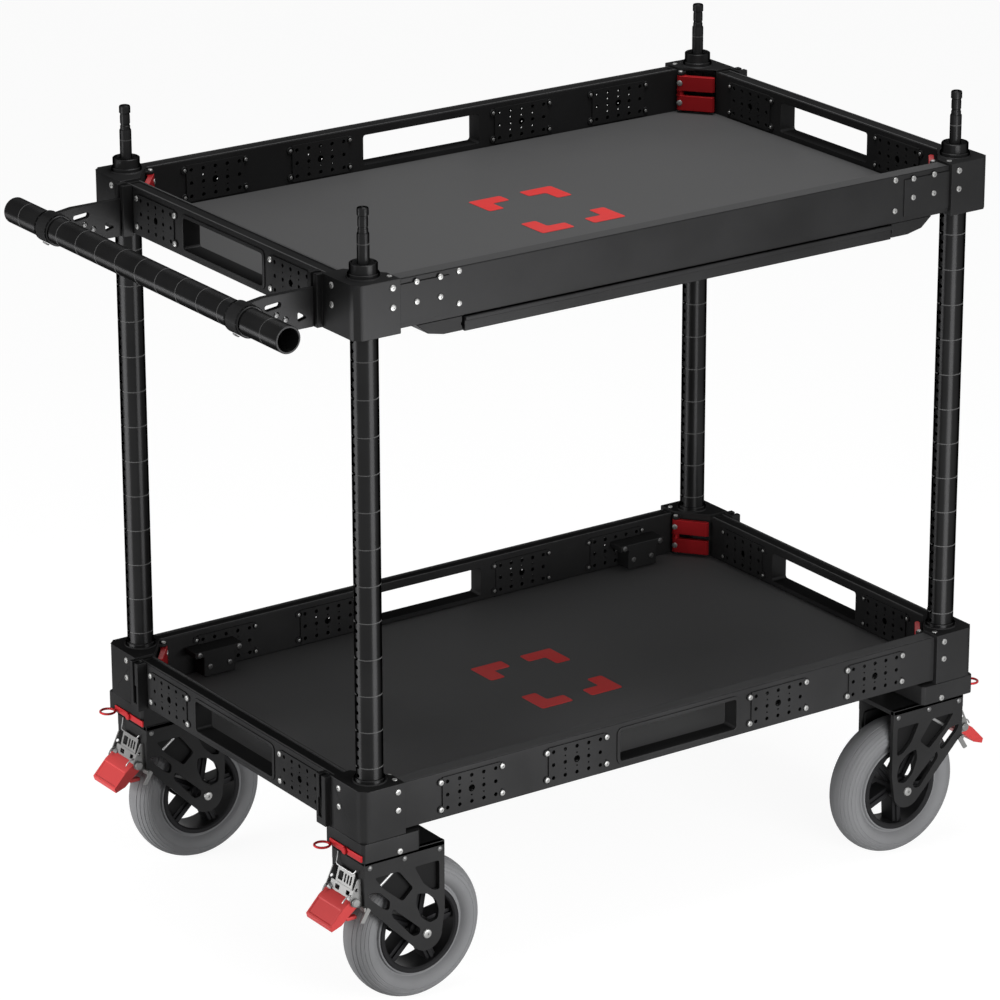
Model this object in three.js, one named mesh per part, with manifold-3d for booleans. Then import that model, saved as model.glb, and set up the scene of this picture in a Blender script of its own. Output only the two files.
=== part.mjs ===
// Two-deck camera cart on four braked swivel casters.
// Millimetres, +Z up, floor at Z = 0, long side along X, front (shelf side) towards -Y.
import * as THREE from "three";
import { mergeVertices } from "three/addons/utils/BufferGeometryUtils.js";
import Module from "manifold-3d";

const wasm = await Module();
wasm.setup();

// Clearances shared by all pieces
const FIT = 0.3; // air left between two neighbouring pieces
const OVERRUN = 1; // how far a cutting tool runs past the face it cuts
const SINK = 0.5; // how far a feature is rooted in the body that carries it

// Tray sizes
const TRAY_LENGTH = 1020;
const TRAY_WIDTH = 646;
const TRAY_SPACING = 679.5; // lower to upper corner block undersides

// Corner block sizes, measured inwards from the tray's two outer faces
const BLOCK_HEIGHT = 72;
const BLOCK_ALONG_X = 67;
const BLOCK_ALONG_Y = 76;
const BLOCK_ROUND = 9;
const COLLAR_RADIUS = 22.5;
const COLLAR_HEIGHT = 1.5;

// Side panel sizes
const PANEL_INSET = 7; // outer panel face behind the block's outer face
const PANEL_DEPTH = 24;
const PANEL_RISE = 4; // panel underside above block underside
const PANEL_DROP = 3.5; // panel top below block top
const PANEL_RAIL = 9; // solid rail above and below the pockets
const PANEL_SKIN = 3.5; // outer wall behind a pocket
const WINDOW_SHARE = 0.3; // window length as a share of the tray's width
const WINDOW_HEIGHT = 43;
const WINDOW_ROUND = 7;
const RIM_WIDTH = 5;
const RIM_PROUD = 2;

// Deck sizes
const DECK_THICKNESS = 4;
const DECK_TOP = 8.5; // deck surface above block underside
const DECK_TUCK = 12; // how far the deck's edge runs under the panels
const DECK_STEP = 1; // tucked edge below the deck surface
const DECK_MARGIN = 2.5; // deck surface's edge inside the panels' inner faces
const DECK_NOTCH = 24; // further notch of the surface round the lever ears

// Hole plate sizes
const PLATE_SHARE = 1 / 6; // plate length as a share of the tray's width
const PLATE_HEIGHT = 51;
const PLATE_THICKNESS = 2;
const PLATE_POCKET_MARGIN = 6; // plate edge that seats round a pocket
const PLATE_WINDOW_GAP = 12; // plate to window rim on the long sides
const PLATE_SHORT_GAP = 9.5; // plate to window rim on the short sides
const PLATE_BLOCK_GAP = 52.5; // plate to corner block on the long sides
const END_PLATE_LENGTH = 77; // plain plates at the ends of the upper front panel
const CENTRE_HOLE_RADIUS = 6;

// Post sizes
const POST_INSET = 34.4;
const POST_RADIUS = 18;
const POST_WALL = 2.5;
const POST_RISE = 3; // post top above the block's collar
const CAP_HEIGHT = 12;
const CAP_PLUG_DEPTH = 30;
const CAP_CHAMFER = 1;
const PIN_RADIUS = 8;
const PIN_STEP_RADIUS = 6.75;
const PIN_HEAD_RADIUS = 7.6;
const PIN_LOW_LENGTH = 40;
const PIN_STEP_LENGTH = 22;
const PIN_TOP_LENGTH = 11;
const PIN_HEAD_ROUND = 2;

// Clamp lever sizes, in the frame of the block's slanted inner face
const LEVER_HEIGHT = 22;
const LEVER_REACH = 57;
const LEVER_THICKNESS = 7.5;
const LEVER_HUB_RADIUS = 5.5;
const LEVER_HUB_ALONG = 6;
const LEVER_PIN_RADIUS = 2.5;
const LEVER_LOW_BASE = 11.5;
const LEVER_HIGH_BASE = 40.5;
const LEVER_TIP_ROUND = 3;
const LEVER_EAR_THICKNESS = 4;

// Handle socket sizes: a slotted bar on each end of a tray, next to every corner block
const SOCKET_WIDTH = 21;
const SOCKET_PROUD = 8.5; // bar face beyond the block's outer face
const SOCKET_LOW = 1;
const SOCKET_HIGH = 71;
const SLOT_WIDTH = 5.4;
const SLOT_STEP = 3; // extra width of the lower half, on the side away from the block
const SLOT_STEP_HEIGHT = 38;
const SLOT_FLOOR = 11;
const SLOT_BORE_RADIUS = 4.5;

// Handle sizes; reaches run outwards from the block's outer face
const HANDLE_OVERHANG = 101.5; // tube beyond the middle of each arm
const HANDLE_RADIUS = 18;
const HANDLE_WALL = 2.5;
const HANDLE_REACH = 108;
const HANDLE_HEIGHT = 28.5; // tube axis above the block's underside
const SLEEVE_LENGTH = 40;
const SLEEVE_WALL = 3;
const ARM_THICKNESS = 16;
const ARM_TONGUE_PLAY = 0.3;
const ARM_HOLE_RADIUS = 4;
const ARM_TOP = 52.5;
const ARM_BASE = 1.5;
const ARM_WINDOW_ROUND = 2;
const ARM_EDGE_SHARES = {
  // shares of the reach and of the arm's top height
  tubeTop: [1, 0.924],
  shoulder: [0.76, 1],
  heel: [0.324, 0],
  tubeUnder: [0.944, 0.18],
};
const ARM_WINDOW_SHARES = [
  [
    [0.75, 0.78],
    [0.528, 0.82],
    [0.519, 0.686],
    [0.731, 0.63],
  ],
  [
    [0.3, 0.476],
    [0.167, 0.295],
    [0.3, 0.219],
  ],
];
const ARM_HOLE_SHARES = [
  [0.583, 0.505],
  [0.463, 0.352],
];

// Keyboard shelf and rail sizes
const SHELF_END_GAP = 166; // shelf end inside the end of the tray
const SHELF_DEPTH = 258;
const SHELF_BASE = 16.5; // shelf underside below the tray's block underside
const SHELF_HEIGHT = 19;
const SHELF_WALL = 2;
const SHELF_SETBACK = 5; // shelf lip behind the block's outer face
const RUNNER_WIDTH = 3.4;
const RUNNER_HEIGHT = 3.4;
const RUNNER_RISE = 8;
const RAIL_TOP_WIDTH = 69;
const RAIL_LOW_WIDTH = 28;
const RAIL_MID_WIDTH = 52;
const RAIL_MID_RISE = 5;

// Equipment bracket sizes, on the inner face of the lower back panel
const BRACKET_END_GAP = 145; // bracket centre inside the end of the tray
const BRACKET_WIDTH = 78;
const BRACKET_LEG_WIDTH = 50;
const BRACKET_DEPTH = 28;
const BRACKET_HEIGHT = 38;
const BRACKET_SHELF = 9;
const BRACKET_RISE = 2.5; // bracket underside above the deck surface

// Caster sizes; local x runs from the swivel axis towards the trailing axle
const SWIVEL_INSET = 48.5; // swivel axis inside both outer faces
const TRAIL_SHARE = 0.565; // trail as a share of the wheel's radius
const WHEEL_RADIUS = 100;
const TYRE_WIDTH = 50;
const TYRE_BORE = 60;
const TYRE_TREAD = 30;
const TYRE_SHOULDER_RADIUS = 90;
const TYRE_BEAD_WIDTH = 40;
const RIM_RING_WALL = 5;
const RIM_RING_WIDTH = 44;
const HUB_RADIUS = 17;
const HUB_WIDTH = 58;
const SPOKE_COUNT = 5;
const SPOKE_WIDTH = 15;
const SPOKE_DEPTH = 26;
const AXLE_RADIUS = 5;
const AXLE_HEAD_RADIUS = 9;
const AXLE_HEAD_HEIGHT = 4;
const FORK_OUTER = 38; // half width over the fork's side plates
const FORK_PLATE = 6;
const FORK_CROWN = 8;
const CROWN_GAP = 19; // wheel top to the crown's underside
const FORK_LEAD = 40; // fork's leading edge ahead of the swivel axis
const FORK_LEAD_DROP = 63;
const FORK_BOSS_RADIUS = 24;
const FORK_WINDOW_ROUND = 4;
const FORK_WINDOW_SHARES = [
  // shares of the plate's length from its leading edge, and of its height above the axle
  [
    [0.606, 0.772],
    [0.929, 0.78],
    [0.913, 0.472],
  ],
  [
    [0.149, 0.772],
    [0.465, 0.756],
    [0.473, 0.441],
  ],
  [
    [0.589, 0.362],
    [0.705, 0.425],
    [0.863, 0.157],
    [0.747, 0.094],
  ],
  [
    [0.083, 0.598],
    [0.158, 0.661],
    [0.664, 0.094],
    [0.589, 0.031],
  ],
];
const BEARING_RADIUS = 28;
const KINGPIN_RADIUS = 12;
const KINGPIN_LENGTH = 14;
const MOUNT_LENGTH = 90;
const MOUNT_WIDTH = 90;
const MOUNT_GAP = 1.8; // fork crown to the mount's underside
const MOUNT_HEIGHT = 27.2;
const MOUNT_CHAMFER = 2;

// Caster release latch sizes
const LATCH_THICKNESS = 3;
const LATCH_HEIGHT = 14;
const LATCH_LENGTH = 75;
const LATCH_OFFSET = 11; // latch centre from the swivel axis, along Y
const LATCH_RISE = 8.2; // latch bar's middle above the mount's underside
const LATCH_PIN_RADIUS = 4;
const LATCH_PIN_LENGTH = 14;
const RING_RADIUS = 12;
const RING_WIRE = 3.5;
const RING_DROP = 2.5; // ring below the latch bar's middle
const RING_INSET = 1; // ring centre in from the end of the latch bar

// Brake sizes, in the caster's side view
const BRAKE_PIVOT_LEAD = 50; // pivot ahead of the swivel axis
const BRAKE_PIVOT_DROP = 57; // pivot below the fork's top
const BRAKE_PIN_RADIUS = 3.5;
const BRAKE_HUB_RADIUS = 6.5;
const BRACKET_FLANGE = 2.5;
const BRACKET_FLANGE_Y = 33; // outer face of each zinc flange
const BRACKET_TOP_DROP = 21;
const BRACKET_LOW_DROP = 91;
const FLANGE_DEPTH = 19;
const FLANGE_SHARES = [
  // shares of the flange's depth and of the bracket's height
  [0.37, 0.93],
  [1, 0.54],
  [0.95, 0.41],
  [0.47, -0.03],
  [0.11, -0.03],
];
const PEDAL_HALF_WIDTH = 30;
const PEDAL_ROUND = 4;
const PEDAL_REACH = 40; // pad tip ahead of the pivot
const PEDAL_DROP = 40; // lowest pad edge below the pivot
const PEDAL_SHARES = [
  [0.1, -0.2],
  [1, 0.675],
  [0.75, 1],
  [0.075, 0.375],
];

// Roundness of curved pieces
const WHEEL_SIDES = 32;
const RIM_SIDES = 24;
const POST_SIDES = 16;
const SMALL_SIDES = 10;
const SCREW_SIDES = 6;
const CORNER_STEPS = 2;

// Places worked out from the sizes above
const HALF_X = TRAY_LENGTH / 2;
const HALF_Y = TRAY_WIDTH / 2;
const TRAIL = TRAIL_SHARE * WHEEL_RADIUS;
const FORK_TOP = 2 * WHEEL_RADIUS + CROWN_GAP + FORK_CROWN;
const MOUNT_BASE = FORK_TOP + MOUNT_GAP;
const LOWER_BASE = MOUNT_BASE + MOUNT_HEIGHT;
const UPPER_BASE = LOWER_BASE + TRAY_SPACING;
const LATCH_Z = MOUNT_BASE + LATCH_RISE;
const RING_Z = LATCH_Z - RING_DROP;
const BRAKE_PIVOT_Z = FORK_TOP - BRAKE_PIVOT_DROP;
const BRACKET_TOP_Z = FORK_TOP - BRACKET_TOP_DROP;
const BRACKET_LOW_Z = FORK_TOP - BRACKET_LOW_DROP;
const PANEL_INNER = PANEL_INSET + PANEL_DEPTH;
const PANEL_HEIGHT = BLOCK_HEIGHT - PANEL_RISE - PANEL_DROP;
const PANEL_MID = PANEL_RISE + PANEL_HEIGHT / 2;
const SOCKET_Y = HALF_Y - BLOCK_ALONG_Y - SOCKET_WIDTH / 2;
const HANDLE_LENGTH = 2 * (SOCKET_Y + HANDLE_OVERHANG);
const HANDLE_X = -HALF_X - HANDLE_REACH;
const WINDOW_LENGTH = WINDOW_SHARE * TRAY_WIDTH;
const PLATE_LENGTH = PLATE_SHARE * TRAY_WIDTH;
const WINDOW_EDGE = WINDOW_LENGTH / 2 + RIM_WIDTH;
const PLATE_NEAR_X = WINDOW_EDGE + PLATE_WINDOW_GAP + PLATE_LENGTH / 2;
const PLATE_FAR_X = HALF_X - BLOCK_ALONG_X - PLATE_BLOCK_GAP - PLATE_LENGTH / 2;
const PLATE_Y = WINDOW_EDGE + PLATE_SHORT_GAP + PLATE_LENGTH / 2;
const SHELF_WIDTH = TRAY_LENGTH - 2 * SHELF_END_GAP;
const BRACKET_X = HALF_X - BRACKET_END_GAP;
const SWIVEL_X = HALF_X - SWIVEL_INSET;
const SWIVEL_Y = HALF_Y - SWIVEL_INSET;
const POST_X = HALF_X - POST_INSET;
const POST_Y = HALF_Y - POST_INSET;
const POST_BOTTOM = LOWER_BASE + SINK + FIT;
const POST_TOP = UPPER_BASE + BLOCK_HEIGHT + COLLAR_HEIGHT + POST_RISE;

// Finishes
function finish(color, roughness, metalness) {
  return new THREE.MeshStandardMaterial({ color, roughness, metalness });
}
const BLACK_METAL = finish(0x2a2a2b, 0.5, 0.6);
const DECK_BLACK = finish(0x4a4a4a, 0.75, 0.2);
const GLOSS_BLACK = finish(0x151515, 0.25, 0.8);
const RED = finish(0xd5292d, 0.45, 0.1);
const TYRE_GREY = finish(0x6f7275, 0.8, 0);

// Solids from three.js geometry
function toSolid(geometry) {
  const bare = geometry.clone();
  bare.deleteAttribute("normal");
  bare.deleteAttribute("uv");
  const merged = mergeVertices(bare);
  return new wasm.Manifold(
    new wasm.Mesh({
      numProp: 3,
      vertProperties: new Float32Array(merged.attributes.position.array),
      triVerts: new Uint32Array(merged.index.array),
    })
  );
}

function joinAll(solids) {
  return solids.reduce((whole, piece) => whole.add(piece));
}

function cutAll(body, tools) {
  return tools.reduce((rest, tool) => rest.subtract(tool), body);
}

function named(name, solid, material) {
  const result = solid.getMesh();
  const geometry = new THREE.BufferGeometry();
  geometry.setAttribute("position", new THREE.BufferAttribute(result.vertProperties, 3));
  geometry.setIndex(new THREE.BufferAttribute(result.triVerts, 1));
  geometry.computeVertexNormals();
  const mesh = new THREE.Mesh(geometry, material);
  mesh.name = name;
  return mesh;
}

// Outlines
function point(x, y) {
  return new THREE.Vector2(x, y);
}

// Points at shares of the way between two opposite corners of a rectangle
function sharedOut(shares, x0, x1, y0, y1) {
  return shares.map(([a, b]) => point(x0 + a * (x1 - x0), y0 + b * (y1 - y0)));
}

function circle(x, y, radius, sides) {
  return Array.from({ length: sides }, (_, i) => {
    const turn = (2 * Math.PI * i) / sides;
    return point(x + radius * Math.cos(turn), y + radius * Math.sin(turn));
  });
}

function arc(x, y, radius, fromDegrees, toDegrees, steps) {
  return Array.from({ length: steps + 1 }, (_, i) => {
    const turn = THREE.MathUtils.degToRad(fromDegrees + ((toDegrees - fromDegrees) * i) / steps);
    return point(x + radius * Math.cos(turn), y + radius * Math.sin(turn));
  });
}

function roundedRectangle(x0, y0, x1, y1, radius) {
  return [
    ...arc(x0 + radius, y0 + radius, radius, 180, 270, CORNER_STEPS),
    ...arc(x1 - radius, y0 + radius, radius, 270, 360, CORNER_STEPS),
    ...arc(x1 - radius, y1 - radius, radius, 0, 90, CORNER_STEPS),
    ...arc(x0 + radius, y1 - radius, radius, 90, 180, CORNER_STEPS),
  ];
}

// Polygon with a flat of the given reach across every corner
function chamfered(corners, reach) {
  return corners.flatMap((corner, i) => {
    const before = corners[(i + corners.length - 1) % corners.length].clone().sub(corner);
    const after = corners[(i + 1) % corners.length].clone().sub(corner);
    const start = corner.clone().addScaledVector(before.normalize(), reach);
    const end = corner.clone().addScaledVector(after.normalize(), reach);
    return [start, end];
  });
}

// Prisms along the three axes
function prismGeometry(outline, low, high, holes) {
  const clockwise = THREE.ShapeUtils.isClockWise(outline);
  const shape = new THREE.Shape(clockwise ? outline.slice().reverse() : outline);
  shape.holes = holes.map((hole) => new THREE.Path(hole));
  const geometry = new THREE.ExtrudeGeometry(shape, { depth: high - low, bevelEnabled: false });
  return geometry.translate(0, 0, low);
}

function prismZ(outline, low, high, holes = []) {
  return toSolid(prismGeometry(outline, low, high, holes));
}

// Outline in X and Z, pulled along Y
function prismY(outline, low, high, holes = []) {
  return toSolid(prismGeometry(outline, -high, -low, holes).rotateX(Math.PI / 2));
}

// Outline in Y and Z, pulled along X
function prismX(outline, low, high, holes = []) {
  const turn = new THREE.Matrix4().makeBasis(
    new THREE.Vector3(0, 1, 0),
    new THREE.Vector3(0, 0, 1),
    new THREE.Vector3(1, 0, 0)
  );
  return toSolid(prismGeometry(outline, low, high, holes).applyMatrix4(turn));
}

function block(x0, x1, y0, y1, z0, z1) {
  const geometry = new THREE.BoxGeometry(x1 - x0, y1 - y0, z1 - z0);
  return toSolid(geometry.translate((x0 + x1) / 2, (y0 + y1) / 2, (z0 + z1) / 2));
}

// Round bar along Z
function rod(x, y, radius, low, high, sides) {
  return prismZ(circle(x, y, radius, sides), low, high);
}

// Round bar along Y
function crossRod(x, z, radius, low, high, sides) {
  return prismY(circle(x, z, radius, sides), low, high);
}

// Bore whose flats clear the corners of a pin that turns in it
function turningBore(pinRadius, sides) {
  return pinRadius / Math.cos(Math.PI / sides) + FIT;
}

// Closed profile of (radius, height) pairs turned round an axis
function turned(profile, sides) {
  return new THREE.LatheGeometry([...profile, profile[0]], sides);
}

// The four corners of a tray, and the mapping from a corner's own inward
// distances (u along X, v along Y) to the tray
const CORNERS = [
  { name: "front_left", sx: -1, sy: -1 },
  { name: "front_right", sx: 1, sy: -1 },
  { name: "back_left", sx: -1, sy: 1 },
  { name: "back_right", sx: 1, sy: 1 },
];

function inCorner(corner, points) {
  return points.map((p) => point(corner.sx * (HALF_X - p.x), corner.sy * (HALF_Y - p.y)));
}

// Slanted inner face of a corner block, and points given along it and off it
const FACE_START = point(BLOCK_ALONG_X, PANEL_INNER);
const FACE_END = point(PANEL_INNER, BLOCK_ALONG_Y);
const FACE_ALONG = FACE_END.clone().sub(FACE_START).normalize();
const FACE_OUT = point(FACE_ALONG.y, -FACE_ALONG.x);
const LEVER_HUB_OFF = LEVER_HUB_RADIUS + FIT;

function onFace(along, off) {
  return FACE_START.clone().addScaledVector(FACE_ALONG, along).addScaledVector(FACE_OUT, off);
}

// Corner block: cast body, post bore, handle socket, lever ears and hinge pin
function blockOutline(corner) {
  return inCorner(corner, [
    ...arc(BLOCK_ROUND, BLOCK_ROUND, BLOCK_ROUND, 180, 270, CORNER_STEPS + 1),
    point(BLOCK_ALONG_X, 0),
    FACE_START,
    FACE_END,
    point(0, BLOCK_ALONG_Y),
  ]);
}

// Block between two corner-frame points (u inwards from the end, v from the side)
function cornerBox(corner, u0, u1, v0, v1, low, high) {
  const outline = inCorner(corner, [point(u0, v0), point(u1, v0), point(u1, v1), point(u0, v1)]);
  return prismZ(outline, low, high);
}

// Bar with an open-topped slot that widens half way down and a round groove behind it
function handleSocket(corner, base) {
  const back = PANEL_INSET - FIT;
  const start = BLOCK_ALONG_Y - SINK;
  const end = BLOCK_ALONG_Y + SOCKET_WIDTH;
  const middle = BLOCK_ALONG_Y + SOCKET_WIDTH / 2;
  const low = base + SOCKET_LOW;
  const high = base + SOCKET_HIGH;
  const profile = inCorner(
    corner,
    chamfered([point(-SOCKET_PROUD, start), point(-SOCKET_PROUD, end), point(back, end), point(back, start)], SINK)
  );
  const floor = base + SLOT_FLOOR;
  const top = high + OVERRUN;
  const near = middle - SLOT_WIDTH / 2;
  const far = middle + SLOT_WIDTH / 2;
  const stepTop = base + SLOT_STEP_HEIGHT;
  const slot = cornerBox(corner, -SOCKET_PROUD - OVERRUN, 0, near, far, floor, top);
  const widened = cornerBox(corner, -SOCKET_PROUD - OVERRUN, -SLOT_BORE_RADIUS, near, far + SLOT_STEP, floor, stepTop);
  const groove = rod(corner.sx * HALF_X, corner.sy * SOCKET_Y, SLOT_BORE_RADIUS, floor, top, SMALL_SIDES);
  return cutAll(prismZ(profile, low, high), [slot, widened, groove]);
}

function leverEar(corner, low, high) {
  const reach = LEVER_HUB_RADIUS;
  const tongue = [
    onFace(LEVER_HUB_ALONG - reach, -SINK),
    onFace(LEVER_HUB_ALONG + reach, -SINK),
    onFace(LEVER_HUB_ALONG + reach, LEVER_HUB_OFF),
    ...arc(0, 0, reach, 0, 180, CORNER_STEPS + 1)
      .slice(1, -1)
      .map((p) => onFace(LEVER_HUB_ALONG + p.x, LEVER_HUB_OFF + p.y)),
    onFace(LEVER_HUB_ALONG - reach, LEVER_HUB_OFF),
  ];
  return prismZ(inCorner(corner, tongue), low, high);
}

function hubPlace(corner) {
  return inCorner(corner, [onFace(LEVER_HUB_ALONG, LEVER_HUB_OFF)])[0];
}

function cornerBlock(corner, base) {
  const x = corner.sx * POST_X;
  const y = corner.sy * POST_Y;
  const top = base + BLOCK_HEIGHT;
  const hub = hubPlace(corner);
  const lowest = base + DECK_TOP + FIT;
  const earTop = base + LEVER_HIGH_BASE + LEVER_HEIGHT + FIT;
  const solid = joinAll([
    prismZ(blockOutline(corner), base, top),
    rod(x, y, COLLAR_RADIUS, top - SINK, top + COLLAR_HEIGHT, POST_SIDES),
    handleSocket(corner, base),
    leverEar(corner, lowest, base + LEVER_LOW_BASE - FIT),
    leverEar(corner, earTop, earTop + LEVER_EAR_THICKNESS),
    rod(hub.x, hub.y, LEVER_PIN_RADIUS, base + LEVER_LOW_BASE - SINK, earTop + SINK, SCREW_SIDES),
  ]);
  const bore = rod(x, y, POST_RADIUS + FIT, base, top + COLLAR_HEIGHT + OVERRUN, POST_SIDES);
  const bored = solid.subtract(bore);
  return base === LOWER_BASE ? bored.add(casterMount(corner)) : bored;
}

// Clamp levers: two stacked levers joined by the barrel that turns on the hinge pin
function leverOutline() {
  const back = LEVER_HUB_OFF + LEVER_HUB_RADIUS;
  const front = back - LEVER_THICKNESS;
  return [
    ...arc(LEVER_HUB_ALONG, LEVER_HUB_OFF, LEVER_HUB_RADIUS, 90, 300, 2 * CORNER_STEPS),
    point(LEVER_HUB_ALONG + 2 * LEVER_HUB_RADIUS, front),
    point(LEVER_REACH - LEVER_TIP_ROUND, front),
    point(LEVER_REACH, front + LEVER_TIP_ROUND),
    point(LEVER_REACH, back - LEVER_TIP_ROUND),
    point(LEVER_REACH - LEVER_TIP_ROUND, back),
  ].map((p) => onFace(p.x, p.y));
}

function clampLevers(corner, base) {
  const outline = inCorner(corner, leverOutline());
  const hub = hubPlace(corner);
  const hole = circle(hub.x, hub.y, turningBore(LEVER_PIN_RADIUS, SCREW_SIDES), SCREW_SIDES);
  const levers = [LEVER_LOW_BASE, LEVER_HIGH_BASE].map((rise) =>
    prismZ(outline, base + rise, base + rise + LEVER_HEIGHT)
  );
  const low = base + LEVER_LOW_BASE;
  const high = base + LEVER_HIGH_BASE;
  const barrel = rod(hub.x, hub.y, LEVER_HUB_RADIUS, low + LEVER_HEIGHT - SINK, high + SINK, SMALL_SIDES);
  const bore = prismZ(hole, low - OVERRUN, high + LEVER_HEIGHT + OVERRUN);
  return joinAll([...levers, barrel]).subtract(bore);
}

// Deck: sheet whose stepped edge is tucked under the panels, notched round the
// corner blocks; its raised surface stays clear of all that stands over the edge
function deckOutline(notch) {
  const [frontLeft, frontRight, backLeft, backRight] = CORNERS.map((c) => inCorner(c, notch));
  return [
    ...frontLeft.reverse(),
    ...frontRight,
    ...backRight.reverse(),
    ...backLeft,
  ];
}

function deck(base) {
  const edge = PANEL_INNER - DECK_TUCK + FIT;
  const tucked = deckOutline([
    point(BLOCK_ALONG_X + FIT, edge),
    point(BLOCK_ALONG_X + FIT, PANEL_INNER + FIT),
    point(PANEL_INNER + FIT, BLOCK_ALONG_Y + FIT),
    point(edge, BLOCK_ALONG_Y + FIT),
  ]);
  const inner = PANEL_INNER + DECK_MARGIN;
  const surface = deckOutline([
    point(BLOCK_ALONG_X + DECK_NOTCH, inner),
    point(inner, BLOCK_ALONG_Y + DECK_NOTCH),
  ]);
  const top = base + DECK_TOP;
  const edgeTop = top - DECK_STEP;
  return prismZ(tucked, top - DECK_THICKNESS, edgeTop).add(prismZ(surface, edgeTop - SINK, top));
}

// Side panels, made along X with the outer face at y = 0 and the inside at +y
function windowOutline(grow) {
  const halfLength = WINDOW_LENGTH / 2 + grow;
  const halfHeight = WINDOW_HEIGHT / 2 + grow;
  const low = PANEL_MID - halfHeight;
  const high = PANEL_MID + halfHeight;
  return roundedRectangle(-halfLength, low, halfLength, high, WINDOW_ROUND + grow);
}

function panelPocket(centre, length) {
  const half = length / 2 - PLATE_POCKET_MARGIN;
  const low = PANEL_RISE + PANEL_RAIL;
  const high = BLOCK_HEIGHT - PANEL_DROP - PANEL_RAIL;
  return block(centre - half, centre + half, PANEL_SKIN, PANEL_DEPTH + OVERRUN, low, high);
}

function plate(centre, length, low, high) {
  const half = length / 2;
  const tall = PLATE_HEIGHT / 2;
  return block(centre - half, centre + half, low, high, PANEL_MID - tall, PANEL_MID + tall);
}

function tuckRebate(halfLength) {
  return block(
    -halfLength - OVERRUN,
    halfLength + OVERRUN,
    PANEL_DEPTH - DECK_TUCK,
    PANEL_DEPTH + OVERRUN,
    PANEL_RISE - OVERRUN,
    DECK_TOP + FIT
  );
}

// Bar with a rebate for the deck's edge, and a pocket behind every hole plate
function panelBody(side) {
  const bar = block(-side.half, side.half, 0, PANEL_DEPTH, PANEL_RISE, BLOCK_HEIGHT - PANEL_DROP);
  const pockets = plateCentres(side).map((centre) => panelPocket(centre, PLATE_LENGTH));
  const covers = plateCentres(side).map((centre) =>
    plate(centre, PLATE_LENGTH, PANEL_DEPTH - SINK, PANEL_DEPTH + PLATE_THICKNESS)
  );
  const holes = plateCentres(side).map((centre) =>
    crossRod(centre, PANEL_MID, CENTRE_HOLE_RADIUS, PANEL_DEPTH / 2, 2 * PANEL_DEPTH, SCREW_SIDES)
  );
  return cutAll(joinAll([cutAll(bar, [tuckRebate(side.half), ...pockets]), ...covers]), holes);
}

function windowedPanel(side) {
  const plates = plateCentres(side).map((centre) => plate(centre, PLATE_LENGTH, -PLATE_THICKNESS, SINK));
  const rim = prismY(windowOutline(RIM_WIDTH), -RIM_PROUD, SINK);
  const hole = prismY(windowOutline(0), -RIM_PROUD - OVERRUN, PANEL_DEPTH + OVERRUN);
  return joinAll([panelBody(side), rim, ...plates]).subtract(hole);
}

// The shelf's side has a plain face between two end plates
function plainPanel(side) {
  const centre = side.half - END_PLATE_LENGTH / 2;
  const plates = [-centre, centre].map((x) => plate(x, END_PLATE_LENGTH, -PLATE_THICKNESS, SINK));
  return joinAll([panelBody(side), ...plates]);
}

// Turns a solid made in the front panel's place to one of the four sides
const SIDES = [
  { name: "front", turn: 0, half: HALF_X - BLOCK_ALONG_X - FIT, out: HALF_Y },
  { name: "right", turn: 90, half: HALF_Y - BLOCK_ALONG_Y - FIT, out: HALF_X },
  { name: "back", turn: 180, half: HALF_X - BLOCK_ALONG_X - FIT, out: HALF_Y },
  { name: "left", turn: 270, half: HALF_Y - BLOCK_ALONG_Y - FIT, out: HALF_X },
];

function toSide(solid, side, base) {
  return solid.translate(0, PANEL_INSET - side.out, base).rotate(0, 0, side.turn);
}

function plateCentres(side) {
  if (side.turn % 180 === 0) {
    return [-PLATE_FAR_X, -PLATE_NEAR_X, PLATE_NEAR_X, PLATE_FAR_X];
  }
  return [-PLATE_Y, PLATE_Y];
}

function panel(side, base) {
  const isPlain = side.name === "front" && base === UPPER_BASE;
  return toSide(isPlain ? plainPanel(side) : windowedPanel(side), side, base);
}

// Posts: tube with a capped top that carries a stepped accessory pin
function post(corner) {
  const x = corner.sx * POST_X;
  const y = corner.sy * POST_Y;
  const cap = POST_TOP;
  const shoulder = cap + CAP_HEIGHT;
  const step = shoulder + PIN_LOW_LENGTH;
  const neck = step + PIN_STEP_LENGTH;
  const tip = neck + PIN_TOP_LENGTH;
  const inner = POST_RADIUS - POST_WALL;
  const profile = [
    point(inner, POST_BOTTOM),
    point(POST_RADIUS, POST_BOTTOM),
    point(POST_RADIUS, shoulder - CAP_CHAMFER),
    point(POST_RADIUS - CAP_CHAMFER, shoulder),
    point(PIN_RADIUS, shoulder),
    point(PIN_RADIUS, step),
    point(PIN_STEP_RADIUS, step),
    point(PIN_STEP_RADIUS, neck),
    point(PIN_HEAD_RADIUS, neck),
    point(PIN_HEAD_RADIUS, tip - PIN_HEAD_ROUND),
    point(PIN_HEAD_RADIUS - PIN_HEAD_ROUND, tip),
    point(0, tip),
    point(0, cap - CAP_PLUG_DEPTH),
    point(inner, cap - CAP_PLUG_DEPTH),
  ];
  const geometry = turned(profile, POST_SIDES);
  return toSolid(geometry.rotateX(Math.PI / 2).translate(x, y, 0));
}

// Handle: tube in two sleeves, each on a truss arm that pivots in a socket
function handleTube() {
  const z = UPPER_BASE + HANDLE_HEIGHT;
  const outer = circle(HANDLE_X, z, HANDLE_RADIUS, POST_SIDES);
  const inner = circle(HANDLE_X, z, HANDLE_RADIUS - HANDLE_WALL, POST_SIDES);
  return prismY(outer, -HANDLE_LENGTH / 2, HANDLE_LENGTH / 2, [inner]);
}

function onArm(shares) {
  return sharedOut(shares, -HALF_X, HANDLE_X, UPPER_BASE, UPPER_BASE + ARM_TOP);
}

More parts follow.
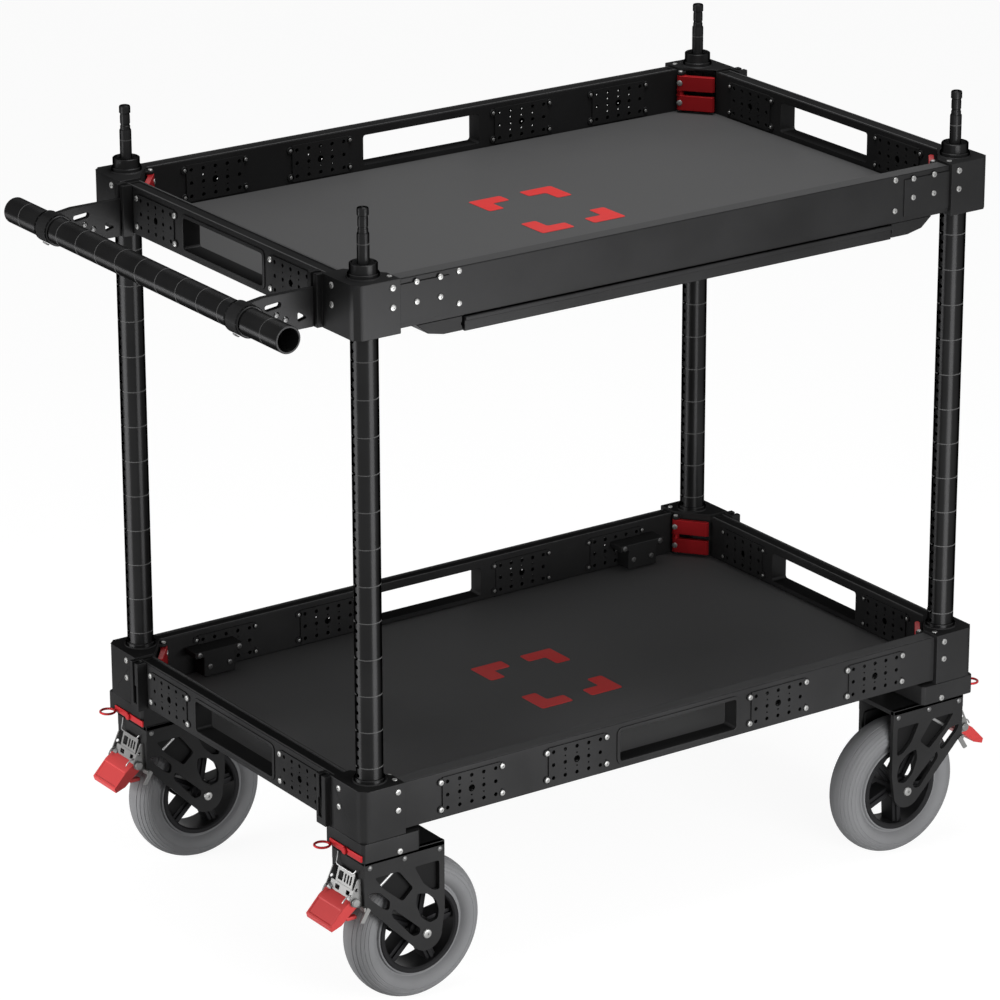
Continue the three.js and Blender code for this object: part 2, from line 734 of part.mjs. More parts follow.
function armOutline() {
  const face = -HALF_X - SOCKET_PROUD - FIT;
  const low = UPPER_BASE + ARM_BASE;
  const [tubeTop, shoulder, heel, tubeUnder] = onArm(Object.values(ARM_EDGE_SHARES));
  return [
    tubeTop,
    shoulder,
    point(face, UPPER_BASE + ARM_TOP),
    point(face, low),
    point(heel.x, low),
    tubeUnder,
  ];
}

function handleArm(hand) {
  const y = hand * SOCKET_Y;
  const z = UPPER_BASE + HANDLE_HEIGHT;
  const half = ARM_THICKNESS / 2;
  const tongueHalf = SLOT_WIDTH / 2 - ARM_TONGUE_PLAY;
  const tongueLow = UPPER_BASE + SLOT_FLOOR + FIT;
  const tongueTop = UPPER_BASE + ARM_TOP;
  const sleeveHalf = SLEEVE_LENGTH / 2;
  const roundHoles = onArm(ARM_HOLE_SHARES).map((p) => circle(p.x, p.y, ARM_HOLE_RADIUS, SCREW_SIDES));
  const windows = ARM_WINDOW_SHARES.map((shares) => chamfered(onArm(shares), ARM_WINDOW_ROUND));
  const web = prismY(armOutline(), y - half, y + half, [...windows, ...roundHoles]);
  const sleeve = crossRod(HANDLE_X, z, HANDLE_RADIUS + SLEEVE_WALL, y - sleeveHalf, y + sleeveHalf, POST_SIDES);
  const tongueRoot = -HALF_X - SOCKET_PROUD - FIT - SINK;
  const tongue = block(tongueRoot, -HALF_X, y - tongueHalf, y + tongueHalf, tongueLow, tongueTop);
  const bead = rod(-HALF_X, y, SLOT_BORE_RADIUS - ARM_TONGUE_PLAY, tongueLow, tongueTop, SMALL_SIDES);
  const boreHalf = sleeveHalf + OVERRUN;
  const bore = crossRod(HANDLE_X, z, HANDLE_RADIUS + FIT, y - boreHalf, y + boreHalf, POST_SIDES);
  return joinAll([web, sleeve, tongue, bead]).subtract(bore);
}

// Keyboard shelf and its rails under the upper tray
const SHELF_FRONT = -HALF_Y + SHELF_SETBACK;
const SHELF_BACK = SHELF_FRONT + SHELF_DEPTH;
const SHELF_LOW = UPPER_BASE - SHELF_BASE;
const RUNNER_LOW = SHELF_LOW + RUNNER_RISE;

function keyboardShelf() {
  const half = SHELF_WIDTH / 2;
  const top = SHELF_LOW + SHELF_HEIGHT;
  const body = block(-half, half, SHELF_FRONT, SHELF_BACK, SHELF_LOW, top);
  const inside = block(
    -half + SHELF_WALL,
    half - SHELF_WALL,
    SHELF_FRONT + SHELF_WALL,
    SHELF_BACK - SHELF_WALL,
    SHELF_LOW + SHELF_WALL,
    top + OVERRUN
  );
  const runners = [-1, 1].map((hand) => {
    const near = hand * (half - SINK);
    const far = hand * (half + RUNNER_WIDTH);
    const x0 = Math.min(near, far);
    const x1 = Math.max(near, far);
    const front = SHELF_FRONT + RAIL_LOW_WIDTH;
    return block(x0, x1, front, SHELF_BACK, RUNNER_LOW, RUNNER_LOW + RUNNER_HEIGHT);
  });
  return joinAll([body.subtract(inside), ...runners]);
}

function shelfRail(hand) {
  const inner = SHELF_WIDTH / 2 + FIT + SHELF_WALL;
  const top = UPPER_BASE + PANEL_RISE - FIT;
  const low = SHELF_LOW + SHELF_WALL / 2;
  const outline = [
    point(hand * inner, low),
    point(hand * (inner + RAIL_LOW_WIDTH), low),
    point(hand * (inner + RAIL_MID_WIDTH), low + RAIL_MID_RISE),
    point(hand * (inner + RAIL_TOP_WIDTH), top),
    point(hand * inner, top),
  ];
  const front = -HALF_Y + PANEL_INSET;
  const rail = prismY(outline, front, SHELF_BACK);
  const grooveDeep = hand * (SHELF_WIDTH / 2 + RUNNER_WIDTH + FIT);
  const grooveMouth = hand * (SHELF_WIDTH / 2);
  const groove = block(
    Math.min(grooveDeep, grooveMouth),
    Math.max(grooveDeep, grooveMouth),
    front - OVERRUN,
    SHELF_BACK + OVERRUN,
    RUNNER_LOW - FIT,
    RUNNER_LOW + RUNNER_HEIGHT + FIT
  );
  return rail.subtract(groove);
}

// Equipment brackets: stepped blocks on the inside of the lower back panel
function equipmentBracket(hand) {
  const back = HALF_Y - PANEL_INNER - FIT - PLATE_THICKNESS;
  const front = back - BRACKET_DEPTH;
  const low = LOWER_BASE + DECK_TOP + BRACKET_RISE;
  const middle = hand * BRACKET_X;
  const top = low + BRACKET_HEIGHT;
  const shelfHalf = BRACKET_WIDTH / 2;
  const legHalf = BRACKET_LEG_WIDTH / 2;
  const shelf = block(middle - shelfHalf, middle + shelfHalf, front, back, top - BRACKET_SHELF, top);
  const leg = block(middle - legHalf, middle + legHalf, front, back, low, top - SINK);
  return shelf.add(leg);
}

// Caster mounts: one block under each corner, with a kingpin bore and a latch bore
function casterMount(corner) {
  const outer = corner.sx * (HALF_X - MOUNT_LENGTH / 2);
  const y = corner.sy * (HALF_Y - MOUNT_WIDTH / 2);
  const outline = chamfered(
    [
      point(outer - MOUNT_LENGTH / 2, y - MOUNT_WIDTH / 2),
      point(outer + MOUNT_LENGTH / 2, y - MOUNT_WIDTH / 2),
      point(outer + MOUNT_LENGTH / 2, y + MOUNT_WIDTH / 2),
      point(outer - MOUNT_LENGTH / 2, y + MOUNT_WIDTH / 2),
    ],
    2 * MOUNT_CHAMFER
  );
  const kingpinX = corner.sx * SWIVEL_X;
  const kingpinY = corner.sy * SWIVEL_Y;
  const bore = rod(
    kingpinX,
    kingpinY,
    turningBore(KINGPIN_RADIUS, SMALL_SIDES),
    MOUNT_BASE - OVERRUN,
    FORK_TOP + KINGPIN_LENGTH + 2 * FIT,
    SMALL_SIDES
  );
  const latchY = kingpinY + corner.sx * LATCH_OFFSET;
  const face = corner.sx * (HALF_X + OVERRUN);
  const deep = corner.sx * (HALF_X - LATCH_PIN_LENGTH - OVERRUN);
  const latchBore = prismX(
    circle(latchY, LATCH_Z, LATCH_PIN_RADIUS + FIT, SCREW_SIDES),
    Math.min(face, deep),
    Math.max(face, deep)
  );
  return cutAll(prismZ(outline, MOUNT_BASE, LOWER_BASE + SINK), [bore, latchBore]);
}

// Caster pieces, in the caster's own frame at the swivel axis on the floor
function tyre() {
  const half = TYRE_WIDTH / 2;
  const bead = TYRE_BEAD_WIDTH / 2;
  const tread = TYRE_TREAD / 2;
  const geometry = turned(
    [
      point(TYRE_BORE, -bead),
      point(TYRE_SHOULDER_RADIUS, -half),
      point(WHEEL_RADIUS, -tread),
      point(WHEEL_RADIUS, tread),
      point(TYRE_SHOULDER_RADIUS, half),
      point(TYRE_BORE, bead),
    ],
    WHEEL_SIDES
  );
  return toSolid(geometry.translate(TRAIL, 0, WHEEL_RADIUS));
}

function rim() {
  const outerRadius = TYRE_BORE - FIT;
  const ring = new THREE.LatheGeometry(
    [
      point(outerRadius - RIM_RING_WALL, -RIM_RING_WIDTH / 2),
      point(outerRadius, -RIM_RING_WIDTH / 2),
      point(outerRadius, RIM_RING_WIDTH / 2),
      point(outerRadius - RIM_RING_WALL, RIM_RING_WIDTH / 2),
      point(outerRadius - RIM_RING_WALL, -RIM_RING_WIDTH / 2),
    ],
    RIM_SIDES
  );
  const reach = outerRadius - RIM_RING_WALL / 2;
  const spokes = Array.from({ length: SPOKE_COUNT }, (_, i) => {
    const geometry = new THREE.BoxGeometry(reach, SPOKE_DEPTH, SPOKE_WIDTH);
    geometry.translate(reach / 2, 0, 0).rotateY((2 * Math.PI * (i + 0.5)) / SPOKE_COUNT);
    return toSolid(geometry);
  });
  const hub = crossRod(0, 0, HUB_RADIUS, -HUB_WIDTH / 2, HUB_WIDTH / 2, SMALL_SIDES);
  const boreRadius = turningBore(AXLE_RADIUS, SCREW_SIDES);
  const bore = crossRod(0, 0, boreRadius, -HUB_WIDTH, HUB_WIDTH, SCREW_SIDES);
  return joinAll([toSolid(ring), hub, ...spokes]).subtract(bore).translate(TRAIL, 0, WHEEL_RADIUS);
}

// Side plate of the fork: straight trailing edge, slanted leading edge and a
// triangulated web
function forkOutline() {
  const leadLow = FORK_TOP - FORK_LEAD_DROP;
  const lead = point(-FORK_LEAD, leadLow);
  const boss = point(TRAIL, WHEEL_RADIUS);
  const toBoss = boss.clone().sub(lead);
  const slant = Math.atan2(toBoss.y, toBoss.x) - Math.asin(FORK_BOSS_RADIUS / toBoss.length());
  const slantDegrees = THREE.MathUtils.radToDeg(slant) - 90;
  return [
    point(-FORK_LEAD, FORK_TOP),
    lead,
    ...arc(TRAIL, WHEEL_RADIUS, FORK_BOSS_RADIUS, slantDegrees, 0, 2 * CORNER_STEPS),
    point(TRAIL + FORK_BOSS_RADIUS, FORK_TOP),
  ];
}

function fork() {
  const outline = forkOutline();
  const holes = FORK_WINDOW_SHARES.map((shares) =>
    chamfered(
      sharedOut(shares, -FORK_LEAD, TRAIL + FORK_BOSS_RADIUS, WHEEL_RADIUS, FORK_TOP),
      FORK_WINDOW_ROUND
    )
  );
  const plates = [-FORK_OUTER, FORK_OUTER - FORK_PLATE].map((y) =>
    prismY(outline, y, y + FORK_PLATE, holes)
  );
  const crown = block(
    -FORK_LEAD,
    TRAIL + FORK_BOSS_RADIUS,
    -FORK_OUTER + SINK,
    FORK_OUTER - SINK,
    FORK_TOP - FORK_CROWN,
    FORK_TOP
  );
  const bearing = rod(0, 0, BEARING_RADIUS, FORK_TOP - SINK, MOUNT_BASE - FIT, SMALL_SIDES);
  const kingpin = rod(0, 0, KINGPIN_RADIUS, FORK_TOP - SINK, FORK_TOP + KINGPIN_LENGTH, SMALL_SIDES);
  return joinAll([...plates, crown, bearing, kingpin, axleBolt(), brakeBracket()]);
}

function axleBolt() {
  const end = FORK_OUTER + AXLE_HEAD_HEIGHT;
  const shank = crossRod(TRAIL, WHEEL_RADIUS, AXLE_RADIUS, -FORK_OUTER, FORK_OUTER, SCREW_SIDES);
  const nearHead = crossRod(TRAIL, WHEEL_RADIUS, AXLE_HEAD_RADIUS, -end, -FORK_OUTER + SINK, SCREW_SIDES);
  const farHead = crossRod(TRAIL, WHEEL_RADIUS, AXLE_HEAD_RADIUS, FORK_OUTER - SINK, end, SCREW_SIDES);
  return joinAll([shank, nearHead, farHead]);
}

// Zinc brake bracket on the fork's leading edge, with the pedal's hinge pin
function brakeBracket() {
  const back = -FORK_LEAD + SINK;
  const pivot = -BRAKE_PIVOT_LEAD;
  const inner = BRACKET_FLANGE_Y - BRACKET_FLANGE;
  const edge = sharedOut(FLANGE_SHARES, -FORK_LEAD, -FORK_LEAD - FLANGE_DEPTH, BRACKET_LOW_Z, BRACKET_TOP_Z);
  const flange = [point(back, BRACKET_LOW_Z), point(back, edge[0].y), ...edge];
  const flanges = [-BRACKET_FLANGE_Y, inner].map((y) => prismY(flange, y, y + BRACKET_FLANGE));
  const web = block(
    -FORK_LEAD - BRACKET_FLANGE,
    back,
    -inner - SINK,
    inner + SINK,
    BRACKET_LOW_Z,
    BRACKET_TOP_Z
  );
  const pin = crossRod(
    pivot,
    BRAKE_PIVOT_Z,
    BRAKE_PIN_RADIUS,
    -BRACKET_FLANGE_Y - BRACKET_FLANGE,
    BRACKET_FLANGE_Y + BRACKET_FLANGE,
    SCREW_SIDES
  );
  return joinAll([...flanges, web, pin]);
}

// Pedal: wide red pad on a hub that turns on the bracket's pin
function brakePedal() {
  const half = PEDAL_HALF_WIDTH;
  const profile = sharedOut(
    PEDAL_SHARES,
    -BRAKE_PIVOT_LEAD,
    -BRAKE_PIVOT_LEAD - PEDAL_REACH,
    BRAKE_PIVOT_Z,
    BRAKE_PIVOT_Z - PEDAL_DROP
  );
  const pad = prismY(chamfered(profile, PEDAL_ROUND), -half, half);
  const hub = crossRod(-BRAKE_PIVOT_LEAD, BRAKE_PIVOT_Z, BRAKE_HUB_RADIUS, -half, half, SMALL_SIDES);
  const bore = crossRod(
    -BRAKE_PIVOT_LEAD,
    BRAKE_PIVOT_Z,
    turningBore(BRAKE_PIN_RADIUS, SCREW_SIDES),
    -half - OVERRUN,
    half + OVERRUN,
    SCREW_SIDES
  );
  return pad.add(hub).subtract(bore);
}

// Release latch: spring bar with a pull ring and a pin into the mount
function releaseLatch() {
  const face = -SWIVEL_INSET - FIT;
  const outer = face - LATCH_THICKNESS;
  const low = -LATCH_OFFSET - LATCH_LENGTH / 2;
  const high = -LATCH_OFFSET + LATCH_LENGTH / 2;
  const bar = block(outer, face, low, high, LATCH_Z - LATCH_HEIGHT / 2, LATCH_Z + LATCH_HEIGHT / 2);
  const ringX = outer - RING_RADIUS + SINK;
  const ringY = high - RING_INSET;
  const ring = prismZ(
    circle(ringX, ringY, RING_RADIUS, POST_SIDES),
    RING_Z - RING_WIRE / 2,
    RING_Z + RING_WIRE / 2,
    [circle(ringX, ringY, RING_RADIUS - RING_WIRE, POST_SIDES)]
  );
  const pin = prismX(
    circle(-LATCH_OFFSET, LATCH_Z, LATCH_PIN_RADIUS, SCREW_SIDES),
    face - SINK,
    face + LATCH_PIN_LENGTH
  );
  return joinAll([bar, ring, pin]);
}

function caster(corner) {
  const assembly = new THREE.Group();
  assembly.position.set(corner.sx * SWIVEL_X, corner.sy * SWIVEL_Y, 0);
  assembly.rotation.z = corner.sx > 0 ? Math.PI : 0;
  assembly.add(
    named(`${corner.name}_caster_fork`, fork(), BLACK_METAL),
    named(`${corner.name}_tyre`, tyre(), TYRE_GREY),
    named(`${corner.name}_wheel_rim`, rim(), GLOSS_BLACK),
    named(`${corner.name}_brake_pedal`, brakePedal(), RED),
    named(`${corner.name}_release_latch`, releaseLatch(), RED)
  );
  return assembly;
}

// Assembly
function tray(level, base) {
  const assembly = new THREE.Group();
  assembly.add(
    named(`${level}_deck`, deck(base), DECK_BLACK)
  );
  SIDES.forEach((side) => {
    assembly.add(named(`${level}_${side.name}_panel`, panel(side, base), BLACK_METAL));
  });
  CORNERS.forEach((corner) => {
    assembly.add(
      named(`${level}_${corner.name}_corner_block`, cornerBlock(corner, base), BLACK_METAL),
      named(`${level}_${corner.name}_clamp_levers`, clampLevers(corner, base), RED)
    );
  });
  return assembly;
}

const cart = new THREE.Group();
cart.name = "camera_cart";
cart.add(tray("lower", LOWER_BASE), tray("upper", UPPER_BASE));
CORNERS.forEach((corner) => {
  cart.add(named(`${corner.name}_post`, post(corner), GLOSS_BLACK), caster(corner));
});
[
  { name: "left", hand: -1 },
  { name: "right", hand: 1 },
].forEach(({ name, hand }) => {
  cart.add(
    named(`${name}_equipment_bracket`, equipmentBracket(hand), BLACK_METAL),
    named(`${name}_shelf_rail`, shelfRail(hand), BLACK_METAL)
  );
});
cart.add(
  named("keyboard_shelf", keyboardShelf(), BLACK_METAL),
  named("handle_tube", handleTube(), GLOSS_BLACK),
  named("front_handle_arm", handleArm(-1), BLACK_METAL),
  named("back_handle_arm", handleArm(1), BLACK_METAL)
);

// The origin lies under the middle of the whole cart, handle and pedals included
const extent = new THREE.Box3().setFromObject(cart);
cart.position.x = -(extent.min.x + extent.max.x) / 2;

export default cart;
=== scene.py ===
# %% [markdown]
# # A two-deck camera cart
#
# The cart carries cameras, monitors and cases round a film set. Two trays of black anodised
# aluminium hang on four tube posts, and the whole thing rolls on braked swivel casters.
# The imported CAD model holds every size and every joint, so the first step is to load it and
# to keep its box. Everything made here is fitted to that frame and dresses it.

# %% Load the frame
import math

import bmesh
import bpy
from mathutils import Matrix, Vector


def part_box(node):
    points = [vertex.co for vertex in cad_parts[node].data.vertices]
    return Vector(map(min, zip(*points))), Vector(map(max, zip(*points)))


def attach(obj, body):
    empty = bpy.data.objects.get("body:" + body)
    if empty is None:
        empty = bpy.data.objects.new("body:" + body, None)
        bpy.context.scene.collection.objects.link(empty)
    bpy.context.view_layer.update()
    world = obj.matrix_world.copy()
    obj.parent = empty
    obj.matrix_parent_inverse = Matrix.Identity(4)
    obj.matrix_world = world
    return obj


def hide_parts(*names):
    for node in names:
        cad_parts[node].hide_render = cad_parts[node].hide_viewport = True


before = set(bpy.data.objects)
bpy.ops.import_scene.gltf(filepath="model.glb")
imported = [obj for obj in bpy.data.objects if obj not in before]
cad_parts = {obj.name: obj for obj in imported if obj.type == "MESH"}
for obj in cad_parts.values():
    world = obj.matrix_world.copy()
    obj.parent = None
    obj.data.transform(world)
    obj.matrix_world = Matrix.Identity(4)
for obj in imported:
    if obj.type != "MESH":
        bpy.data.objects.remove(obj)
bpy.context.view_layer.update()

# %% [markdown]
# ## Working units
#
# A maker's drawing of this cart is in millimetres from the middle of the trays. Blender works in
# metres, and the frame's origin is the middle of the whole cart with its handle. So every piece is
# drawn in tray millimetres and moved into the frame once, when it is finished.

# %% Tray sizes and places
low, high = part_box("lower_deck")
TRAY_MIDDLE = (low.x + high.x) / 2
TO_FRAME = Matrix.Translation((TRAY_MIDDLE, 0, 0)) @ Matrix.Scale(0.001, 4)

HALF_X, HALF_Y = 510.0, 323.0
BASES = {"lower": 256.0, "upper": 935.5}
BLOCK_X, BLOCK_Y, BLOCK_TALL = 67.0, 76.0, 72.0
CORNERS = {"front_left": (-1, -1), "front_right": (1, -1), "back_left": (-1, 1), "back_right": (1, 1)}
FOUR_WAYS = [(-1, -1), (-1, 1), (1, -1), (1, 1)]
TRAY_BODY = {"lower": "lower_frame", "upper": "upper_tray"}
print("Middle of the trays in the frame, m:", round(TRAY_MIDDLE, 4))

# %% [markdown]
# ## Turning a drawn shape into a piece
#
# Every piece ends the same way: its shape goes into the frame, gets its finish, rides on the body
# that carries it and, where it stands for a plain CAD solid, takes that solid's place. Machined
# metal has small worn-in radii on its edges. A bevel makes them, and the Weighted Normal modifier
# keeps the flat faces beside them evenly shaded. Screws and most turned parts do without it.

# %% Finish a piece
CREASE = math.radians(35)
made_pieces = []


def finish_piece(shape, name, finish, body, stands_for=(), place=None, even=True):
    """Moves a bmesh drawn in millimetres into the frame and makes it a riding object."""
    if place is not None:
        shape.transform(place)
    bmesh.ops.transform(shape, matrix=TO_FRAME, verts=shape.verts)
    mesh = bpy.data.meshes.new(name)
    shape.to_mesh(mesh)
    shape.free()
    mesh.materials.append(finish)
    mesh.shade_smooth()
    mesh.set_sharp_from_angle(angle=CREASE)
    piece = bpy.data.objects.new(name, mesh)
    bpy.context.scene.collection.objects.link(piece)
    if even:
        piece.modifiers.new("Even shading", "WEIGHTED_NORMAL").keep_sharp = True
    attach(piece, body)
    if stands_for:
        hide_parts(*stands_for)
    made_pieces.append(piece)


def report(stage):
    faces = sum(len(piece.data.polygons) for piece in made_pieces)
    print(f"After the {stage}: {len(made_pieces)} pieces, {faces} faces")


report("start")

# %% [markdown]
# Parts are drawn on their own and copied into the piece that they belong to. A mirrored copy
# would be inside out, so its faces are flipped.

# %% Copies and seams
IDENTITY = Matrix.Identity(4)


def add_copy(target, source, place):
    """Adds a moved copy of one bmesh to another."""
    carrier = bpy.data.meshes.new("carrier")
    source.to_mesh(carrier)
    carrier.transform(place)
    if place.determinant() < 0:
        carrier.flip_normals()
    target.from_mesh(carrier)
    bpy.data.meshes.remove(carrier)


def hand_over(target, source, place=IDENTITY):
    """Adds a bmesh to another and lets go of it."""
    add_copy(target, source, place)
    source.free()


def close_seams(shape, distance):
    """Welds touching points and turns all faces outwards."""
    bmesh.ops.remove_doubles(shape, verts=shape.verts, dist=distance)
    bmesh.ops.recalc_face_normals(shape, faces=shape.faces)


def points_of(result):
    """The points that an operator made."""
    return [v for v in result["geom"] if isinstance(v, bmesh.types.BMVert)]


print("A mirrored copy turns its faces:", Matrix.Scale(-1, 4, (1, 0, 0)).determinant() < 0)

# %% [markdown]
# ## Basic shapes
#
# Four ways of making metal cover the whole cart: a bar is milled from a block, a round part is
# turned on a lathe, a plate is cut from sheet with its openings, and wire is bent. Each gets a
# small helper built on one of bmesh's operators: a cube, a spin, a filled outline that is pulled
# up, and a short swept curve.

# %% Bars and turned parts
WELD, PIN_CHAMFER = 0.001, 0.4


def round_edges(shape, edges, radius, segments=2, clamp=True):
    bmesh.ops.bevel(
        shape, geom=list(edges), offset=radius, offset_type="OFFSET", segments=segments,
        profile=0.5, affect="EDGES", clamp_overlap=clamp, material=-1,
    )


def bar(shape, x, y, z, radius, segments=2):
    """A block between pairs of x, y and z, its edges rounded."""
    block = bmesh.new()
    bmesh.ops.create_cube(block, size=1.0)
    bmesh.ops.scale(block, vec=(x[1] - x[0], y[1] - y[0], z[1] - z[0]), verts=block.verts)
    middle = Vector((sum(x) / 2, sum(y) / 2, sum(z) / 2))
    bmesh.ops.translate(block, vec=middle, verts=block.verts)
    round_edges(block, block.edges, radius, segments)
    hand_over(shape, block)


def turned(shape, profile, steps, place=IDENTITY, closed=False):
    """Spins (radius, height) points round the local Z axis."""
    lathe = bmesh.new()
    points = [lathe.verts.new((r, 0, h)) for r, h in profile]
    edges = [lathe.edges.new(pair) for pair in zip(points, points[1:])]
    if closed:
        edges.append(lathe.edges.new((points[-1], points[0])))
    bmesh.ops.spin(
        lathe, geom=points + edges, cent=(0, 0, 0), axis=(0, 0, 1),
        angle=2 * math.pi, steps=steps, use_merge=True,
    )
    close_seams(lathe, WELD)
    hand_over(shape, lathe, place)


def along_y(x, y, z):
    """Turns a lathe part's axis to lie along Y at a place."""
    return Matrix.Translation((x, y, z)) @ Matrix.Rotation(math.radians(-90), 4, "X")


def facing(direction):
    """Turns a part that stands along +Z to stand along another direction."""
    return Vector((0, 0, 1)).rotation_difference(Vector(direction)).to_matrix().to_4x4()


def round_bar(shape, start, end, radius, sides=16):
    """A turned pin between two points, with a small chamfer at both ends."""
    start, end = Vector(start), Vector(end)
    length = (end - start).length
    narrow = radius - PIN_CHAMFER
    profile = [
        (0, 0), (narrow, 0), (radius, PIN_CHAMFER),
        (radius, length - PIN_CHAMFER), (narrow, length), (0, length),
    ]
    turned(shape, profile, sides, Matrix.Translation(start) @ facing(end - start))


trial = bmesh.new()
bar(trial, (0, 10), (0, 10), (0, 10), 1.0)
print("Faces of a rounded bar:", len(trial.faces))
trial.free()

# %% [markdown]
# A plate starts as loops of edges in X and Y: its outline and its holes. The fill leaves the
# holes open, and the flat sheet is then pulled up to its thickness. Its long edges can be eased,
# while the upright ones stay as the outline draws them.

# %% Cut plates
SHARP_RIM = 1.2
UPRIGHT = Matrix.Rotation(math.radians(90), 4, "X")


def loop_of(shape, points):
    made = [shape.verts.new((x, y, 0)) for x, y in points]
    return [shape.edges.new((made[i - 1], made[i])) for i in range(len(made))]


def filled(outline, holes=()):
    """Flat sheet inside an outline, its holes left open."""
    sheet = bmesh.new()
    edges = loop_of(sheet, outline)
    for hole in holes:
        edges += loop_of(sheet, hole)
    bmesh.ops.triangle_fill(sheet, edges=edges, use_beauty=True, use_dissolve=True)
    return sheet


def thicken(sheet, depth):
    """Pulls a flat sheet up along Z and turns its faces outwards."""
    grown = bmesh.ops.extrude_face_region(sheet, geom=list(sheet.faces))
    bmesh.ops.translate(sheet, vec=(0, 0, depth), verts=points_of(grown))
    bmesh.ops.recalc_face_normals(sheet, faces=sheet.faces)


def is_upright(edge):
    direction = edge.verts[0].co - edge.verts[1].co
    return abs(direction.z) > 0.9 * direction.length


def cut_plate(shape, outline, holes, depth, place, radius=0.0, segments=1):
    """Sheet of a given depth with openings, drawn in X and Y and pulled along Z."""
    sheet = filled(outline, holes)
    thicken(sheet, depth)
    if radius:
        rims = [e for e in sheet.edges if e.calc_face_angle(0) > SHARP_RIM and not is_upright(e)]
        round_edges(sheet, rims, radius, segments)
    hand_over(shape, sheet, place)


def standing(y):
    """Stands a plate up, its X and Y becoming X and Z, and its thickness -Y."""
    return Matrix.Translation((0, y, 0)) @ UPRIGHT


sheet = filled([(0, 0), (9, 0), (9, 6), (0, 6)], [[(3, 2), (6, 2), (6, 4), (3, 4)]])
print("Faces of a sheet with one window:", len(sheet.faces))
sheet.free()

# %% [markdown]
# Rounded rectangles are everywhere on the cart: windows, rims, slots and plates. A circle with
# each quarter moved out to a corner gives their outline. Struts and levers have corners that are
# eased with a short curve.

# %% Outlines
QUARTER_STEPS, EASE_STEPS = 4, 3


def rectangle(x0, y0, x1, y1):
    return [(x0, y0), (x1, y0), (x1, y1), (x0, y1)]


def ring_points(x, y, radius, count):
    turns = [2 * math.pi * i / count for i in range(count)]
    return [(x + radius * math.cos(t), y + radius * math.sin(t)) for t in turns]


def rounded_rectangle(x0, y0, x1, y1, radius):
    left, right = x0 + radius, x1 - radius
    bottom, top = y0 + radius, y1 - radius
    spots = []
    for index, (cx, cy) in enumerate([(right, top), (left, top), (left, bottom), (right, bottom)]):
        for step in range(QUARTER_STEPS + 1):
            turn = math.pi / 2 * (index + step / QUARTER_STEPS)
            spots.append((cx + radius * math.cos(turn), cy + radius * math.sin(turn)))
    return spots


def softened_polygon(corners, radius):
    """Polygon whose corners are eased with short curves."""
    spots = []
    for i, corner in enumerate(corners):
        here = Vector(corner)
        before = (Vector(corners[i - 1]) - here).normalized()
        after = (Vector(corners[(i + 1) % len(corners)]) - here).normalized()
        start, end = here + before * radius, here + after * radius
        for step in range(EASE_STEPS + 1):
            t = step / EASE_STEPS
            spots.append(tuple((1 - t) ** 2 * start + 2 * t * (1 - t) * here + t * t * end))
    return spots


print("Points of a rounded rectangle:", len(rounded_rectangle(0, 0, 9, 6, 1)))

# %% [markdown]
# ## Softened CAD pieces
#
# Many solids already have the right form: corner blocks, brackets, rails, the handle's arms. A
# copy of the solid is welded, its flat faces are cleaned up and its sharp edges get the small
# radius of a milled and blasted part. The copy then stands for the solid.

# %% Soften a CAD solid
SHARP, FLAT = math.radians(28), math.radians(0.8)


def softened(node, radius, segments=1):
    """A copy of a CAD solid, in tray millimetres, with its sharp edges rounded."""
    shape = bmesh.new()
    shape.from_mesh(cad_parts[node].data)
    bmesh.ops.transform(shape, matrix=TO_FRAME.inverted(), verts=shape.verts)
    bmesh.ops.remove_doubles(shape, verts=shape.verts, dist=0.02)
    bmesh.ops.dissolve_limit(shape, angle_limit=FLAT, verts=shape.verts, edges=shape.edges)
    edges = [e for e in shape.edges if e.calc_face_angle(0) > SHARP]
    round_edges(shape, edges, radius, segments, clamp=False)
    return shape


trial = softened("upper_deck", 0.4)
print("Faces of the softened upper deck:", len(trial.faces))
trial.free()

# %% [markdown]
# ## Finishes
#
# Each finish is a small recipe: a base colour that drifts a little, a roughness that drifts with
# it, and a fine bump at the grain's real size. Object coordinates are in metres, so a noise scale
# of 1000 gives grains of about a millimetre. Blasted and anodised aluminium has a very fine grain
# and a soft sheen, powder coat has a coarser pebble, and moulded rubber is dull with faint scuffs.

# %% Helpers for node materials
PATTERN_ENDS = (0.3, 0.7)


def new_finish(name):
    finish = bpy.data.materials.new(name)
    finish.use_nodes = True
    return finish, finish.node_tree, finish.node_tree.nodes["Principled BSDF"]


def noise(tree, scale, detail, stretch=(1, 1, 1)):
    """Noise on object coordinates, stretched where a finish has a direction."""
    place = tree.nodes.new("ShaderNodeTexCoord")
    turn = tree.nodes.new("ShaderNodeMapping")
    turn.inputs["Scale"].default_value = stretch
    pattern = tree.nodes.new("ShaderNodeTexNoise")
    pattern.inputs["Scale"].default_value = scale
    pattern.inputs["Detail"].default_value = detail
    tree.links.new(place.outputs["Object"], turn.inputs["Vector"])
    tree.links.new(turn.outputs["Vector"], pattern.inputs["Vector"])
    return pattern.outputs["Fac"]


def drifting(tree, source, darker, paler):
    """Maps the useful range of a pattern to colours between two ends."""
    mapped = tree.nodes.new("ShaderNodeValToRGB")
    tree.links.new(source, mapped.inputs["Fac"])
    for index, colour in enumerate((darker, paler)):
        mapped.color_ramp.elements[index].position = PATTERN_ENDS[index]
        mapped.color_ramp.elements[index].color = (*colour, 1)
    return mapped.outputs["Color"]


